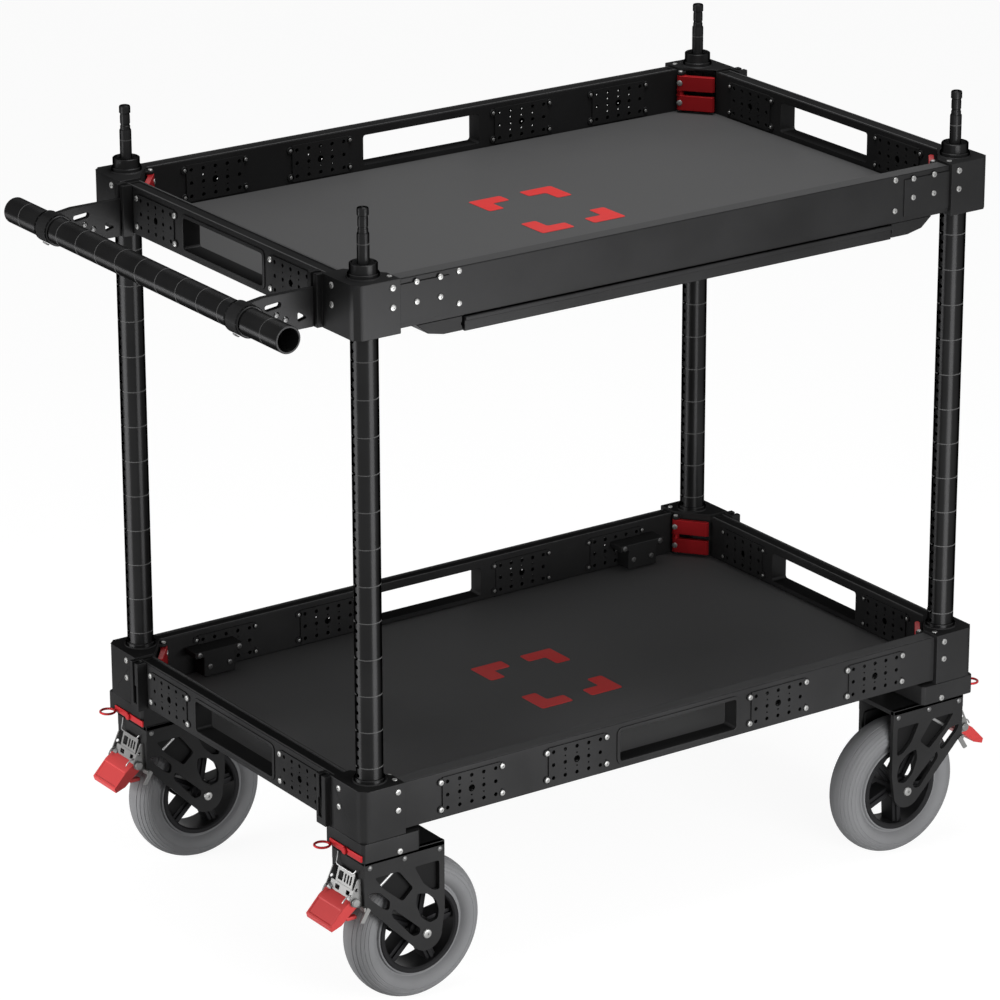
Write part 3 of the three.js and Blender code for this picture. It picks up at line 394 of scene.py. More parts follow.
def spread(tree, source, least, most):
    """Maps the useful range of a pattern on to a range of values."""
    mapped = tree.nodes.new("ShaderNodeMapRange")
    ends = zip(("From Min", "From Max", "To Min", "To Max"), (*PATTERN_ENDS, least, most))
    for socket, value in ends:
        mapped.inputs[socket].default_value = value
    tree.links.new(source, mapped.inputs["Value"])
    return mapped.outputs["Result"]


def bump(tree, source, distance):
    raised = tree.nodes.new("ShaderNodeBump")
    raised.inputs["Strength"].default_value = 1.0
    raised.inputs["Distance"].default_value = distance
    tree.links.new(source, raised.inputs["Height"])
    return raised.outputs["Normal"]


def maths(tree, operation, *values):
    """A Math node, each value a number or another node's output."""
    node = tree.nodes.new("ShaderNodeMath")
    node.operation = operation
    for socket, value in zip(node.inputs, values):
        if isinstance(value, float):
            socket.default_value = value
        else:
            tree.links.new(value, socket)
    return node.outputs[0]


print("Useful range of a noise:", PATTERN_ENDS)

# %% [markdown]
# The grain and the drift are the same recipe for every solid finish, so one function makes them
# all. Two noises are enough: a cloud some ten centimetres wide for colour and roughness, and the
# fine grain for the bump.

# %% A grained finish
CLOUD_SCALE, ROUGH_DOWN, ROUGH_UP = 9, 0.05, 0.06


def grained(name, colour, rough, metal, level, edge, grain, depth, drift=0.12):
    """A solid finish: drifting colour and roughness with a fine grain."""
    finish, tree, shader = new_finish(name)
    cloud = noise(tree, CLOUD_SCALE, 4)
    darker, paler = ([c * (1 + change) for c in colour] for change in (-drift, drift))
    tree.links.new(drifting(tree, cloud, darker, paler), shader.inputs["Base Color"])
    roughness = spread(tree, cloud, rough - ROUGH_DOWN, rough + ROUGH_UP)
    tree.links.new(roughness, shader.inputs["Roughness"])
    tree.links.new(bump(tree, noise(tree, grain, 2), depth), shader.inputs["Normal"])
    shader.inputs["Metallic"].default_value = metal
    shader.inputs["Specular IOR Level"].default_value = level
    shader.inputs["Specular Tint"].default_value = (edge, edge, edge, 1)
    return finish


print("Width of the cloud, m:", round(1 / CLOUD_SCALE, 2))

# %% [markdown]
# The frame is black anodised aluminium with a blasted satin surface, and the blocks share it. A
# dyed oxide skin over metal reflects like very dark metal, so a third of its answer is metallic
# with a dark base, and its edges stay dark because the specular tint is low. The casters' forks
# are powder coated steel, a touch duller. Levers and latches are red anodised, the pedals are red
# nylon, the fasteners are nickel plated and the brake's sheet metal is zinc plated. Rubber is
# dull and slightly dusty: a soft cloud, a coarse pore and a low specular level.
#
# Behind the colour stand roughness, metallic, specular level, specular tint, the grain's scale
# and its depth in metres, and for some the colour's drift.

# %% Metals, plastics and rubber
satin_black = grained("satin_black", (0.032, 0.032, 0.0325), 0.38, 0.33, 0.0, 0.15, 2600, 0.00003)
fork_black = grained("fork_black", (0.029, 0.029, 0.0294), 0.42, 0.3, 0.04, 0.15, 1500, 0.00005)
deck_grey = grained("deck_grey", (0.098, 0.098, 0.099), 0.6, 0.12, 0.03, 0.1, 1100, 0.00008, 0.04)
# A pale grey for the painted light and painted edge highlights on the walls' tops.
top_highlight_grey = grained("top_highlight_grey", (0.058, 0.058, 0.059), 0.5, 0.1, 0.03, 0.2, 1800, 0.00004, 0.04)
red_anodised = grained("red_anodised", (0.42, 0.018, 0.022), 0.36, 0.25, 0.2, 0.3, 2400, 0.00003)
red_nylon = grained("red_nylon", (0.52, 0.042, 0.042), 0.5, 0.0, 0.25, 1.0, 900, 0.00006, 0.05)
red_inlay = grained("red_inlay", (0.70, 0.040, 0.038), 0.5, 0.0, 0.05, 1.0, 1800, 0.00003, 0.04)
nickel = grained("nickel", (0.30, 0.30, 0.295), 0.42, 0.9, 0.3, 0.6, 2200, 0.00002, 0.06)
rivet_black = grained("rivet_black", (0.13, 0.13, 0.13), 0.4, 0.8, 0.3, 0.6, 1500, 0.00003)
zinc = grained("zinc", (0.20, 0.20, 0.197), 0.45, 0.6, 0.3, 0.6, 500, 0.00005, 0.2)
spring_steel = grained("spring_steel", (0.27, 0.27, 0.27), 0.36, 0.9, 0.4, 1.0, 900, 0.00003)
# Near-black painted shade, for the plates behind the fork's upper windows.
shadow_black = grained("shadow_black", (0.006, 0.006, 0.0062), 0.6, 0.0, 0.1, 1.0, 900, 0.00003)
rim_black = grained("rim_black", (0.018, 0.018, 0.019), 0.44, 0.3, 0.1, 0.4, 1200, 0.00005)
gloss_black = grained("gloss_black", (0.025, 0.025, 0.0254), 0.36, 1.0, 0.1, 0.15, 900, 0.00001)
tyre_grey = grained("tyre_grey", (0.190, 0.192, 0.197), 0.7, 0.0, 0.12, 1.0, 700, 0.00012, 0.1)
print("Materials so far, with the frame's own:", len(bpy.data.materials))

# %% [markdown]
# The posts and the push handle are drawn tube with a glossy black anodised skin. A pale ring is
# laser marked round them every 50 millimetres, so that the trays can be set level. The mark is a
# thin band that repeats along the tube: the height is divided by the spacing, and what is left of
# each step is compared with the line's width. Turning and polishing leave grooves round the tube
# that spread a highlight along its length, which is what anisotropy along the axis gives.

# %% Marked tube
MARK_STEP, MARK_LINE, POST_MARK, HANDLE_MARK = 0.05, 0.0013, 0.3, 0.0
SKIN_DARK, SKIN_PALE, MARK_GREY = (0.021, 0.021, 0.0213), (0.027, 0.027, 0.0274), (0.10, 0.10, 0.10, 1)
GROOVES = {"Y": (1, 0.06, 1), "Z": (1, 1, 0.06)}


def stretch_along(tree, axis):
    """Spreads a highlight along one axis, as turned grooves do."""
    shader = tree.nodes["Principled BSDF"]
    shader.inputs["Anisotropic"].default_value = 0.88
    along = tree.nodes.new("ShaderNodeCombineXYZ")
    along.inputs[axis].default_value = 1.0
    tree.links.new(along.outputs[0], shader.inputs["Tangent"])


def marked_tube(name, axis, first_mark):
    finish, tree, shader = new_finish(name)
    place = tree.nodes.new("ShaderNodeTexCoord")
    split = tree.nodes.new("ShaderNodeSeparateXYZ")
    tree.links.new(place.outputs["Object"], split.inputs["Vector"])
    shifted = maths(tree, "SUBTRACT", split.outputs[axis], first_mark - MARK_LINE / 2)
    marked = maths(tree, "LESS_THAN", maths(tree, "FLOORED_MODULO", shifted, MARK_STEP), MARK_LINE)
    cloud = noise(tree, 14, 3)
    mixed = tree.nodes.new("ShaderNodeMix")
    mixed.data_type = "RGBA"
    tree.links.new(marked, mixed.inputs["Factor"])
    tree.links.new(drifting(tree, cloud, SKIN_DARK, SKIN_PALE), mixed.inputs["A"])
    mixed.inputs["B"].default_value = MARK_GREY
    tree.links.new(mixed.outputs["Result"], shader.inputs["Base Color"])
    tree.links.new(maths(tree, "SUBTRACT", 1.0, marked), shader.inputs["Metallic"])
    tree.links.new(spread(tree, cloud, 0.38, 0.42), shader.inputs["Roughness"])
    drawn = noise(tree, 900, 2, GROOVES[axis])
    tree.links.new(bump(tree, drawn, 0.00001), shader.inputs["Normal"])
    shader.inputs["Specular IOR Level"].default_value = 0.1
    shader.inputs["Specular Tint"].default_value = (0.15, 0.15, 0.15, 1)
    stretch_along(tree, axis)
    return finish


post_finish = marked_tube("post_gloss_black", "Z", POST_MARK)
handle_finish = marked_tube("handle_gloss_black", "Y", HANDLE_MARK)
stretch_along(gloss_black.node_tree, "Z")
print("Materials with both tubes:", len(bpy.data.materials))

# %% [markdown]
# ## Fasteners
#
# Button head screws with a hex socket hold the blocks, the hole plates and the casters. There are
# some three hundred of them, so each is only a few dozen faces: a turned dome whose flat top is
# bridged to a six-sided recess.

# %% One screw, to be copied many times
SCREW_RADIUS, SCREW_TALL = 4.1, 1.8
SOCKET_WIDE, SOCKET_DEEP = 0.3 * SCREW_RADIUS, 0.4 * SCREW_TALL
DOME = [(1, 0), (1, 0.35), (0.86, 0.8), (0.55, 1)]


def pierce(shape, border, place, radius, segments):
    """Bridges a loop of edges to a round hole and returns the hole's edges."""
    middle = Matrix.Translation(place)
    hole = bmesh.ops.create_circle(shape, segments=segments, radius=radius, matrix=middle, cap_ends=False)
    around = list({e for v in hole["verts"] for e in v.link_edges})
    bmesh.ops.bridge_loops(shape, edges=border + around)
    return around


def screw_shape():
    """Button head screw standing along +Z, its underside at zero."""
    shape = bmesh.new()
    lathe = [shape.verts.new((r * SCREW_RADIUS, 0, h * SCREW_TALL)) for r, h in DOME]
    edges = [shape.edges.new(pair) for pair in zip(lathe, lathe[1:])]
    bmesh.ops.spin(shape, geom=lathe + edges, axis=(0, 0, 1), angle=2 * math.pi, steps=12, use_merge=True)
    bmesh.ops.remove_doubles(shape, verts=shape.verts, dist=WELD)
    rim = [e for e in shape.edges if e.is_boundary and e.verts[0].co.z > SCREW_TALL * 0.9]
    around = pierce(shape, rim, (0, 0, SCREW_TALL), SOCKET_WIDE, 6)
    walls = bmesh.ops.extrude_edge_only(shape, edges=around)
    bmesh.ops.translate(shape, vec=(0, 0, -SOCKET_DEEP), verts=points_of(walls))
    floor = [e for e in walls["geom"] if isinstance(e, bmesh.types.BMEdge) and e.is_boundary]
    bmesh.ops.contextual_create(shape, geom=floor)
    bmesh.ops.recalc_face_normals(shape, faces=shape.faces)
    return shape


def add_screws(shape, places, direction, size=1.0):
    for place in places:
        add_copy(shape, SCREW, Matrix.Translation(place) @ facing(direction) @ Matrix.Scale(size, 4))


SCREW = screw_shape()
print("Faces of one screw:", len(SCREW.faces))

# %% [markdown]
# ## Hole plates
#
# The walls of the trays carry perforated plates, on which clamps, arms and pouches are bolted.
# Each has a grid of threaded holes, a larger one in the middle and smaller locating holes
# between. A plate is built cell by cell: a rectangle of edges is bridged to a circle, the cells
# are welded into one sheet, and the sheet is given its thickness. Every hole is then a real one,
# and light falls through it as on the cart. Four round ears at the ends carry the plate's screws.

# %% Build one hole plate
POCKET_HALF, PLATE_THICK, EAR, EAR_CHAMFER = 43.0, 2.0, 5.2, 0.4
SCREW_X, SCREW_Z = 48.25, 19.15
COLUMN_EDGES = [-45.6, -28.5, -9.5, 9.5, 28.5, 45.6]
COLUMN_MIDDLES = [-38.0, -19.0, 0.0, 19.0, 38.0]
ROW_EDGES = [-25.5, -13.9, -4.6, 4.6, 13.9, 25.5]
ROW_MIDDLES = [-18.5, -9.25, 0.0, 9.25, 18.5]
BIG, THREADED, SMALL = 5.0, 2.8, 1.3


def hole_radius(column, row):
    if (column, row) == (2, 2):
        return BIG
    if row % 2 == 0:
        return THREADED
    return SMALL if column in (1, 2, 3) else 0.0


def cell_border(x0, x1, y0, y1):
    """A rectangle of edges, the start of one cell of a perforated sheet."""
    cell = bmesh.new()
    bmesh.ops.create_grid(cell, x_segments=1, y_segments=1, size=0.5)
    bmesh.ops.scale(cell, vec=(x1 - x0, y1 - y0, 1), verts=cell.verts)
    bmesh.ops.translate(cell, vec=((x0 + x1) / 2, (y0 + y1) / 2, 0), verts=cell.verts)
    bmesh.ops.delete(cell, geom=list(cell.faces), context="FACES_ONLY")
    return cell


def plate_cell(sheet, column, row):
    cell = cell_border(*COLUMN_EDGES[column:column + 2], *ROW_EDGES[row:row + 2])
    bmesh.ops.subdivide_edges(cell, edges=list(cell.edges), cuts=3)
    border = list(cell.edges)
    radius = hole_radius(column, row)
    if radius:
        pierce(cell, border, (COLUMN_MIDDLES[column], ROW_MIDDLES[row], 0), radius, 16)
    else:
        bmesh.ops.contextual_create(cell, geom=border)
    hand_over(sheet, cell)


def hole_plate():
    """Perforated plate in X and Y, its outer face at Z = thickness."""
    sheet = bmesh.new()
    for column in range(5):
        for row in range(5):
            plate_cell(sheet, column, row)
    bmesh.ops.remove_doubles(sheet, verts=sheet.verts, dist=0.01)
    thicken(sheet, PLATE_THICK)
    shoulder = PLATE_THICK - EAR_CHAMFER
    ear = [(0, 0), (EAR, 0), (EAR, shoulder), (EAR - EAR_CHAMFER, PLATE_THICK), (0, PLATE_THICK)]
    for sx, sz in FOUR_WAYS:
        turned(sheet, ear, 20, Matrix.Translation((sx * SCREW_X, sz * SCREW_Z, 0)))
    return sheet


HOLE_PLATE = hole_plate()
print("Faces of one hole plate:", len(HOLE_PLATE.faces))

# %% [markdown]
# ## Tray walls
#
# Each wall is an extruded bar with openings: one window for straps and hands, and a pocket
# behind every pair of hole plates. Walls are drawn once in the front wall's place, with X along
# the wall, Y inwards and Z up, and turned to the four sides.

# %% Places of walls and windows
PANEL_INSET, PANEL_DEEP = 7.0, 24.0
PANEL_LOW, PANEL_TOP = 4.0, 68.5
PANEL_MIDDLE = (PANEL_LOW + PANEL_TOP) / 2
JOINT_GAP = 0.3
LONG_HALF, SHORT_HALF = HALF_X - BLOCK_X - JOINT_GAP, HALF_Y - BLOCK_Y - JOINT_GAP
LONG_PLATES, SHORT_PLATES = (-336.5, -168.0, 168.0, 336.5), (-165.5, 165.5)
SIDES = {
    "front": (0, LONG_HALF, HALF_Y, LONG_PLATES),
    "right": (90, SHORT_HALF, HALF_X, SHORT_PLATES),
    "back": (180, LONG_HALF, HALF_Y, LONG_PLATES),
    "left": (270, SHORT_HALF, HALF_X, SHORT_PLATES),
}
WINDOW_HALF, WINDOW_TALL, WINDOW_ROUND, RIM = 96.9, 43.0, 4.0, 5.0


def wall_place(side, level):
    turn, _, out, _ = SIDES[side]
    inwards = Matrix.Translation((0, PANEL_INSET - out, BASES[level]))
    return Matrix.Rotation(math.radians(turn), 4, "Z") @ inwards


def window_outline(grow=0.0):
    half = WINDOW_HALF + grow
    tall = WINDOW_TALL / 2 + grow
    return rounded_rectangle(-half, PANEL_MIDDLE - tall, half, PANEL_MIDDLE + tall, WINDOW_ROUND + grow)


print("Half lengths of the walls, mm:", LONG_HALF, SHORT_HALF)

# %% [markdown]
# The wall's outline lies in X and Z. It is drawn flat, pulled to the wall's depth and stood
# upright, with the outer face towards -Y. The top groove is an inset of the top face that is
# pushed down.

# %% The bar of a wall
GROOVE_DEEP, GROOVE_MARGIN, POCKET_EDGE, LONG_ROUND = 1.6, 6.5, 9, 0.9


def top_groove(shape):
    """Sinks a groove along the top face of a wall."""
    top = [f for f in shape.faces if f.normal.z > 0.9 and f.calc_center_median().z > PANEL_TOP - 0.5]
    widest = max(top, key=lambda f: f.calc_area())
    bmesh.ops.inset_region(shape, faces=[widest], thickness=GROOVE_MARGIN, depth=0)
    pushed = bmesh.ops.extrude_face_region(shape, geom=[widest])
    bmesh.ops.translate(shape, vec=(0, 0, -GROOVE_DEEP), verts=points_of(pushed))
    bmesh.ops.delete(shape, geom=[widest], context="FACES")


def wall_shape(side, plain):
    """Bar of a tray wall, outer face at Y = 0, inner face at Y = PANEL_DEEP."""
    _, half, _, centres = SIDES[side]
    low_edge, high_edge = PANEL_LOW + POCKET_EDGE, PANEL_TOP - POCKET_EDGE
    pockets = [rectangle(c - POCKET_HALF, low_edge, c + POCKET_HALF, high_edge) for c in centres]
    holes = [] if plain else pockets + [window_outline()]
    shape = bmesh.new()
    cut_plate(shape, rectangle(-half, PANEL_LOW, half, PANEL_TOP), holes, PANEL_DEEP, standing(PANEL_DEEP))
    if not plain:
        bmesh.ops.dissolve_limit(shape, angle_limit=0.01, verts=shape.verts, edges=shape.edges)
    top_groove(shape)
    sharp = [e for e in shape.edges if e.calc_face_angle(0) > SHARP_RIM]
    long_edges = [e for e in sharp if abs(e.verts[0].co.x - e.verts[1].co.x) > half]
    round_edges(shape, long_edges, LONG_ROUND)
    return shape


print("Height of a wall, mm:", PANEL_TOP - PANEL_LOW)

# %% [markdown]
# A wall carries plates on both faces and a raised frame round its window. The upper front wall
# is plain outside: it has two flat end plates instead, each with its own group of screws. A pale
# grey strip covers the top groove of the front walls: painted light that makes their top as
# bright as the deck. The other walls show two narrow grey lips there, painted highlights along
# the edges of the groove.

# %% What a wall carries
STRIP_EDGE, STRIP_PROUD, STRIP_SUNK, LIP_WIDE = 1.6, 0.5, 1.2, 2.6
END_PLATE_LONG, END_PLATE_HALF, END_PLATE_FROM = 77, 25.5, 366
END_SCREWS = [(416, 61.5), (416, 35.5), (380.5, 61.5), (380.5, 35.5), (351, 63.5), (351, 21)]
INNER_SCREW = 0.6


def plates_on(shape, centres, inner):
    y = PANEL_DEEP if inner else 0
    about = Matrix.Rotation(math.pi, 4, "Z") if inner else IDENTITY
    for centre in centres:
        add_copy(shape, HOLE_PLATE, Matrix.Translation((centre, y, PANEL_MIDDLE)) @ about @ UPRIGHT)


def plate_screws(centres, inner):
    y = PANEL_DEEP + PLATE_THICK if inner else -PLATE_THICK
    return [(c + sx * SCREW_X, y, PANEL_MIDDLE + sz * SCREW_Z) for c in centres for sx, sz in FOUR_WAYS]


def end_plates(plates, screws, half):
    """Flat plates and screws at both ends of the plain wall."""
    for hand in (-1, 1):
        ends = sorted((hand * (half - END_PLATE_LONG), hand * half))
        tall = (PANEL_MIDDLE - END_PLATE_HALF, PANEL_MIDDLE + END_PLATE_HALF)
        bar(plates, ends, (-PLATE_THICK, 0.2), tall, 0.5)
        outer = [(hand * x, -PLATE_THICK if x > END_PLATE_FROM else 0.0, z) for x, z in END_SCREWS]
        add_screws(screws, outer, (0, -1, 0))


# Pale grey strips and lips on the walls' tops: painted light and painted edge highlights.
def top_highlight_strips(side, half):
    strips = bmesh.new()
    reach, inner_edge = half - STRIP_EDGE, PANEL_DEEP - STRIP_EDGE
    belts = [(STRIP_EDGE, inner_edge)]
    if side != "front":
        belts = [(STRIP_EDGE, STRIP_EDGE + LIP_WIDE), (inner_edge - LIP_WIDE, inner_edge)]
    for belt in belts:
        bar(strips, (-reach, reach), belt, (PANEL_TOP - STRIP_SUNK, PANEL_TOP + STRIP_PROUD), 0.3)
    return strips


print("Screws of the plates on a long wall:", len(plate_screws(LONG_PLATES, inner=False)))

# %% [markdown]
# With these parts the eight walls are put together and turned into their places. Every wall is
# four pieces: the bar, its plates, its screws and its strips.

# %% Build the walls
FRAME_THICK, FRAME_ROUND = 2.0, 0.9

for level in BASES:
    for side, (_, half, _, centres) in SIDES.items():
        plain = level == "upper" and side == "front"
        place, body, name = wall_place(side, level), TRAY_BODY[level], f"{level}_{side}"
        wall = wall_shape(side, plain)
        finish_piece(wall, f"{name}_wall", satin_black, body, [f"{name}_panel"], place)
        plates, screws = bmesh.new(), bmesh.new()
        plates_on(plates, centres, inner=True)
        add_screws(screws, plate_screws(centres, inner=True), (0, 1, 0), INNER_SCREW)
        if plain:
            end_plates(plates, screws, half)
        else:
            plates_on(plates, centres, inner=False)
            window = (window_outline(RIM), [window_outline()])
            cut_plate(plates, *window, FRAME_THICK, UPRIGHT, radius=FRAME_ROUND, segments=2)
            add_screws(screws, plate_screws(centres, inner=False), (0, -1, 0))
        finish_piece(plates, f"{name}_hole_plates", satin_black, body, place=place)
        finish_piece(screws, f"{name}_wall_screws", nickel, body, place=place, even=False)
        # The pale strips on the top paint light and edge highlights.
        finish_piece(top_highlight_strips(side, half), f"{name}_top_highlight_strips", top_highlight_grey, body, place=place)
report("walls")

# %% [markdown]
# ## Corner blocks
#
# A die-cast block at each corner clamps the post and joins two walls. On its end face sits the
# slotted bar into which the push handle hooks, and under the lower ones sits the caster's mount.
# The CAD solid has this form, so a softened copy is a good start. The outer vertical corner is
# then opened to the large radius of the casting: its points all lie within the old radius of the
# corner, so scaling them about the corner turns one round into the other. A V-groove is pressed
# in where the caster's mount meets the lower block. Two screws sit on each outer face and one
# beside the post.

# %% Corner blocks and their screws
OLD_ROUND, NEW_ROUND, NEAR = 9.0, 15.5, 0.05
SEAM_DEEP, SEAM_WIDE, SEAM_X, SEAM_Y = 1.8, 1.0, 470, 285
BLOCK_SCREW_Z, BLOCK_SCREW_X, BLOCK_SCREW_Y = (36.0, 61.5), 455, 269
TOP_SCREW_X, TOP_SCREW_Y = HALF_X - 60, HALF_Y - 15


def open_corner(shape, sx, sy, above):
    """Widens the round of the outer vertical corner above a height."""
    corner = Vector((sx * HALF_X, sy * HALF_Y, 0))
    reach = OLD_ROUND + NEAR
    near = [
        v for v in shape.verts
        if abs(v.co.x - corner.x) < reach and abs(v.co.y - corner.y) < reach and v.co.z > above
    ]
    grow = NEW_ROUND / OLD_ROUND
    bmesh.ops.scale(shape, vec=(grow, grow, 1), space=Matrix.Translation(-corner), verts=near)


def press_seam(shape, height, middle):
    """Pulls a narrow belt of the surface inwards to leave a dark joint line."""
    for level in (height + SEAM_WIDE, height, height - SEAM_WIDE):
        geometry = list(shape.verts) + list(shape.edges) + list(shape.faces)
        bmesh.ops.bisect_plane(shape, geom=geometry, plane_co=(0, 0, level), plane_no=(0, 0, 1), dist=0.001)
    for v in shape.verts:
        if abs(v.co.z - height) < 0.01:
            v.co.x -= math.copysign(SEAM_DEEP, v.co.x - middle.x)
            v.co.y -= math.copysign(SEAM_DEEP, v.co.y - middle.y)


for level, base in BASES.items():
    body = TRAY_BODY[level]
    for corner, (sx, sy) in CORNERS.items():
        node = f"{level}_{corner}_corner_block"
        block = softened(node, 0.6)
        if level == "lower":
            press_seam(block, base, Vector((sx * SEAM_X, sy * SEAM_Y, 0)))
        open_corner(block, sx, sy, base - 0.5)
        finish_piece(block, f"{level}_{corner}_block", satin_black, body, [node])
        screws = bmesh.new()
        rises = [base + z for z in BLOCK_SCREW_Z]
        add_screws(screws, [(sx * BLOCK_SCREW_X, sy * HALF_Y, z) for z in rises], (0, sy, 0), 1.1)
        add_screws(screws, [(sx * HALF_X, sy * BLOCK_SCREW_Y, z) for z in rises], (sx, 0, 0), 1.1)
        add_screws(screws, [(sx * TOP_SCREW_X, sy * TOP_SCREW_Y, base + BLOCK_TALL)], (0, 0, 1), 0.9)
        finish_piece(screws, f"{level}_{corner}_block_screws", nickel, body, even=False)
report("corner blocks")

# %% [markdown]
# ## Decks
#
# The decks are sheets with a fine dark texture. Four red framing corners, as in a viewfinder,
# mark the middle of each deck. They are thin inlays: an L-shaped outline, cut out and given half
# a millimetre of thickness.

# %% Decks and framing corners
MARK_HALF_X, MARK_HALF_Y, MARK_Y, ARM, BAND = 68.0, 88.0, -9.0, 52.0, 24.0
DECK_TOP, INLAY = 8.45, 0.5


def framing_corner(hand_x, hand_y):
    x, y = MARK_HALF_X, MARK_HALF_Y
    outline = [
        (x, y), (x - ARM, y), (x - ARM, y - BAND),
        (x - BAND, y - BAND), (x - BAND, y - ARM), (x, y - ARM),
    ]
    return [(hand_x * x, MARK_Y + hand_y * y) for x, y in outline]


for level, base in BASES.items():
    node, body = f"{level}_deck", TRAY_BODY[level]
    finish_piece(softened(node, 0.4), f"{level}_deck_sheet", deck_grey, body, [node])
    marks = bmesh.new()
    for hands in FOUR_WAYS:
        outline = softened_polygon(framing_corner(*hands), 4.0)
        cut_plate(marks, outline, [], INLAY, Matrix.Translation((0, 0, base + DECK_TOP)))
    close_seams(marks, 0.01)
    finish_piece(marks, f"{level}_deck_framing_marks", red_inlay, body, even=False)
report("decks")

# %% [markdown]
# ## Posts
#
# Each post is a tube of 36 mm with one column of index holes, 12.5 mm apart, on the side that
# looks towards the push handle. The holes are cut as on the hole plates: one strip of cells is
# made flat, wrapped to the tube's radius, and its edge is spun round the axis to close the tube.

# %% One post tube with its column of holes
POST_RADIUS, POST_X, POST_Y = 18.0, 475.6, 288.6
POST_LOW, POST_ROWS, HOLE_PITCH, HOLE_RADIUS, HOLE_WALL = 257.0, 60, 12.5, 3.0, 2.5
STRIP_TURN = math.radians(22.5)


def post_cell(strip, low_z):
    half = POST_RADIUS * STRIP_TURN / 2
    high_z = low_z + HOLE_PITCH
    cell = cell_border(-half, half, low_z, high_z)
    across = [e for e in cell.edges if abs(e.verts[0].co.y - e.verts[1].co.y) < 0.01]
    sides = [e for e in cell.edges if e not in across]
    bmesh.ops.subdivide_edges(cell, edges=across, cuts=3)
    bmesh.ops.subdivide_edges(cell, edges=sides, cuts=1)
    around = pierce(cell, list(cell.edges), (0, (low_z + high_z) / 2, 0), HOLE_RADIUS, 12)
    rims = bmesh.ops.extrude_edge_only(cell, edges=around)
    bmesh.ops.translate(cell, vec=(0, 0, -HOLE_WALL), verts=points_of(rims))
    hand_over(strip, cell)


def post_tube():
    """Tube about the Z axis, its holes towards -X."""
    tube = bmesh.new()
    for row in range(POST_ROWS):
        post_cell(tube, POST_LOW + row * HOLE_PITCH)
    bmesh.ops.remove_doubles(tube, verts=tube.verts, dist=0.01)
    for v in tube.verts:
        turn = v.co.x / POST_RADIUS
        reach = POST_RADIUS + v.co.z
        v.co = (-reach * math.cos(turn), -reach * math.sin(turn), v.co.y)
    edge_y = -POST_RADIUS * math.sin(STRIP_TURN / 2)
    seam = [e for e in tube.edges if all(abs(v.co.y - edge_y) < 0.02 for v in e.verts) and not e.is_wire]
    bmesh.ops.spin(
        tube, geom=seam + list({v for e in seam for v in e.verts}), cent=(0, 0, 0), axis=(0, 0, 1),
        angle=2 * math.pi - STRIP_TURN, steps=45,
    )
    close_seams(tube, 0.02)
    return tube


TUBE = post_tube()
print("Faces of one post tube:", len(TUBE.faces), "top at", POST_LOW + POST_ROWS * HOLE_PITCH)

# %% [markdown]
# The top of the post is a turned cap with a flange and a stepped pin, the standard stud of
# grip gear: a wide lower part, a narrower neck and a grooved head. All of it is one profile on
# the lathe. A collar ring seals the post where it passes through the block.

# %% Caps, pins and collars
CAP_PROFILE = [
    (0, 1000), (17.9, 1000), (17.9, 1011), (18.3, 1011.5), (18.3, 1025.2), (17.4, 1026),
    (15.6, 1026), (15.2, 1024.6), (8.0, 1024.6), (8.0, 1062.5), (7.6, 1064), (6.75, 1064),
    (6.75, 1069), (6.1, 1069.6), (6.1, 1072), (6.75, 1072.6), (6.75, 1082), (6.2, 1086),
    (7.6, 1087), (7.6, 1094.6), (7.1, 1096.4), (5.8, 1097), (0, 1097),
]
COLLAR_PROFILE = [(18.1, 0), (20.6, 0), (20.6, 5.2), (19.8, 6.2), (18.1, 6.4)]
ROUND_STEPS = 40

for corner, (sx, sy) in CORNERS.items():
    at = Matrix.Translation((sx * POST_X, sy * POST_Y, 0))
    post = bmesh.new()
    add_copy(post, TUBE, at)
    turned(post, CAP_PROFILE, ROUND_STEPS, at)
    node = f"{corner}_post"
    finish_piece(post, f"{node}_tube", post_finish, "lower_frame", [node], even=False)
    for level, base in BASES.items():
        collar = bmesh.new()
        profile = [(r, base + BLOCK_TALL + h) for r, h in COLLAR_PROFILE]
        turned(collar, profile, ROUND_STEPS, at, closed=True)
        finish_piece(collar, f"{level}_{corner}_post_collar", gloss_black, TRAY_BODY[level])
report("posts")

# %% [markdown]
# ## Clamp levers
#
# Two red levers lie one above the other on the slanted inner face of every corner block and turn
# on one steel pin. The copy of the CAD solid gets softer edges. A nickel bolt head sits on each
# lever, and the pin's head shows above them.

# %% Levers and their bolts
HUB_X, HUB_Y, SLANT_X, SLANT_Y, BOLT_OUT = 442.22, 283.69, 0.781, 0.625, 4.6
LEVER_RISES, LEVER_HALF = (11.5, 40.5), 11
PIN_HEAD = [(0, 66.8), (3.4, 66.8), (3.4, 68.2), (2.6, 69.0), (0, 69.0)]

for level, base in BASES.items():
    for corner, (sx, sy) in CORNERS.items():
        name = f"{level}_{corner}"
        node, body = f"{name}_clamp_levers", f"{name}_levers"
        levers = softened(node, 0.9, segments=2)
        finish_piece(levers, f"{name}_red_levers", red_anodised, body, [node])
        bolts, pin = bmesh.new(), bmesh.new()
        hub = (sx * HUB_X, sy * HUB_Y)
        inwards = Vector((-sx * SLANT_X, -sy * SLANT_Y, 0))
        for rise in LEVER_RISES:
            middle = Vector((*hub, base + rise + LEVER_HALF)) + inwards * BOLT_OUT
            add_screws(bolts, [middle], inwards, 1.1)
        finish_piece(bolts, f"{name}_lever_bolts", nickel, body, even=False)
        turned(pin, PIN_HEAD, 12, Matrix.Translation((*hub, base)))
        finish_piece(pin, f"{name}_lever_pin_head", nickel, TRAY_BODY[level], even=False)
report("levers")

# %% [markdown]
# ## Push handle
#
# The handle is a tube held by two truss arms. The arms end in sleeves round the tube and in
# tongues that drop into the slotted bars of the corner blocks. The tube is open at both ends and
# is turned with its wall; each sleeve gets a rounded lip at both ends and a clamp screw. The web
# of each arm is slimmed to a plate, so that its openings show light from the side.

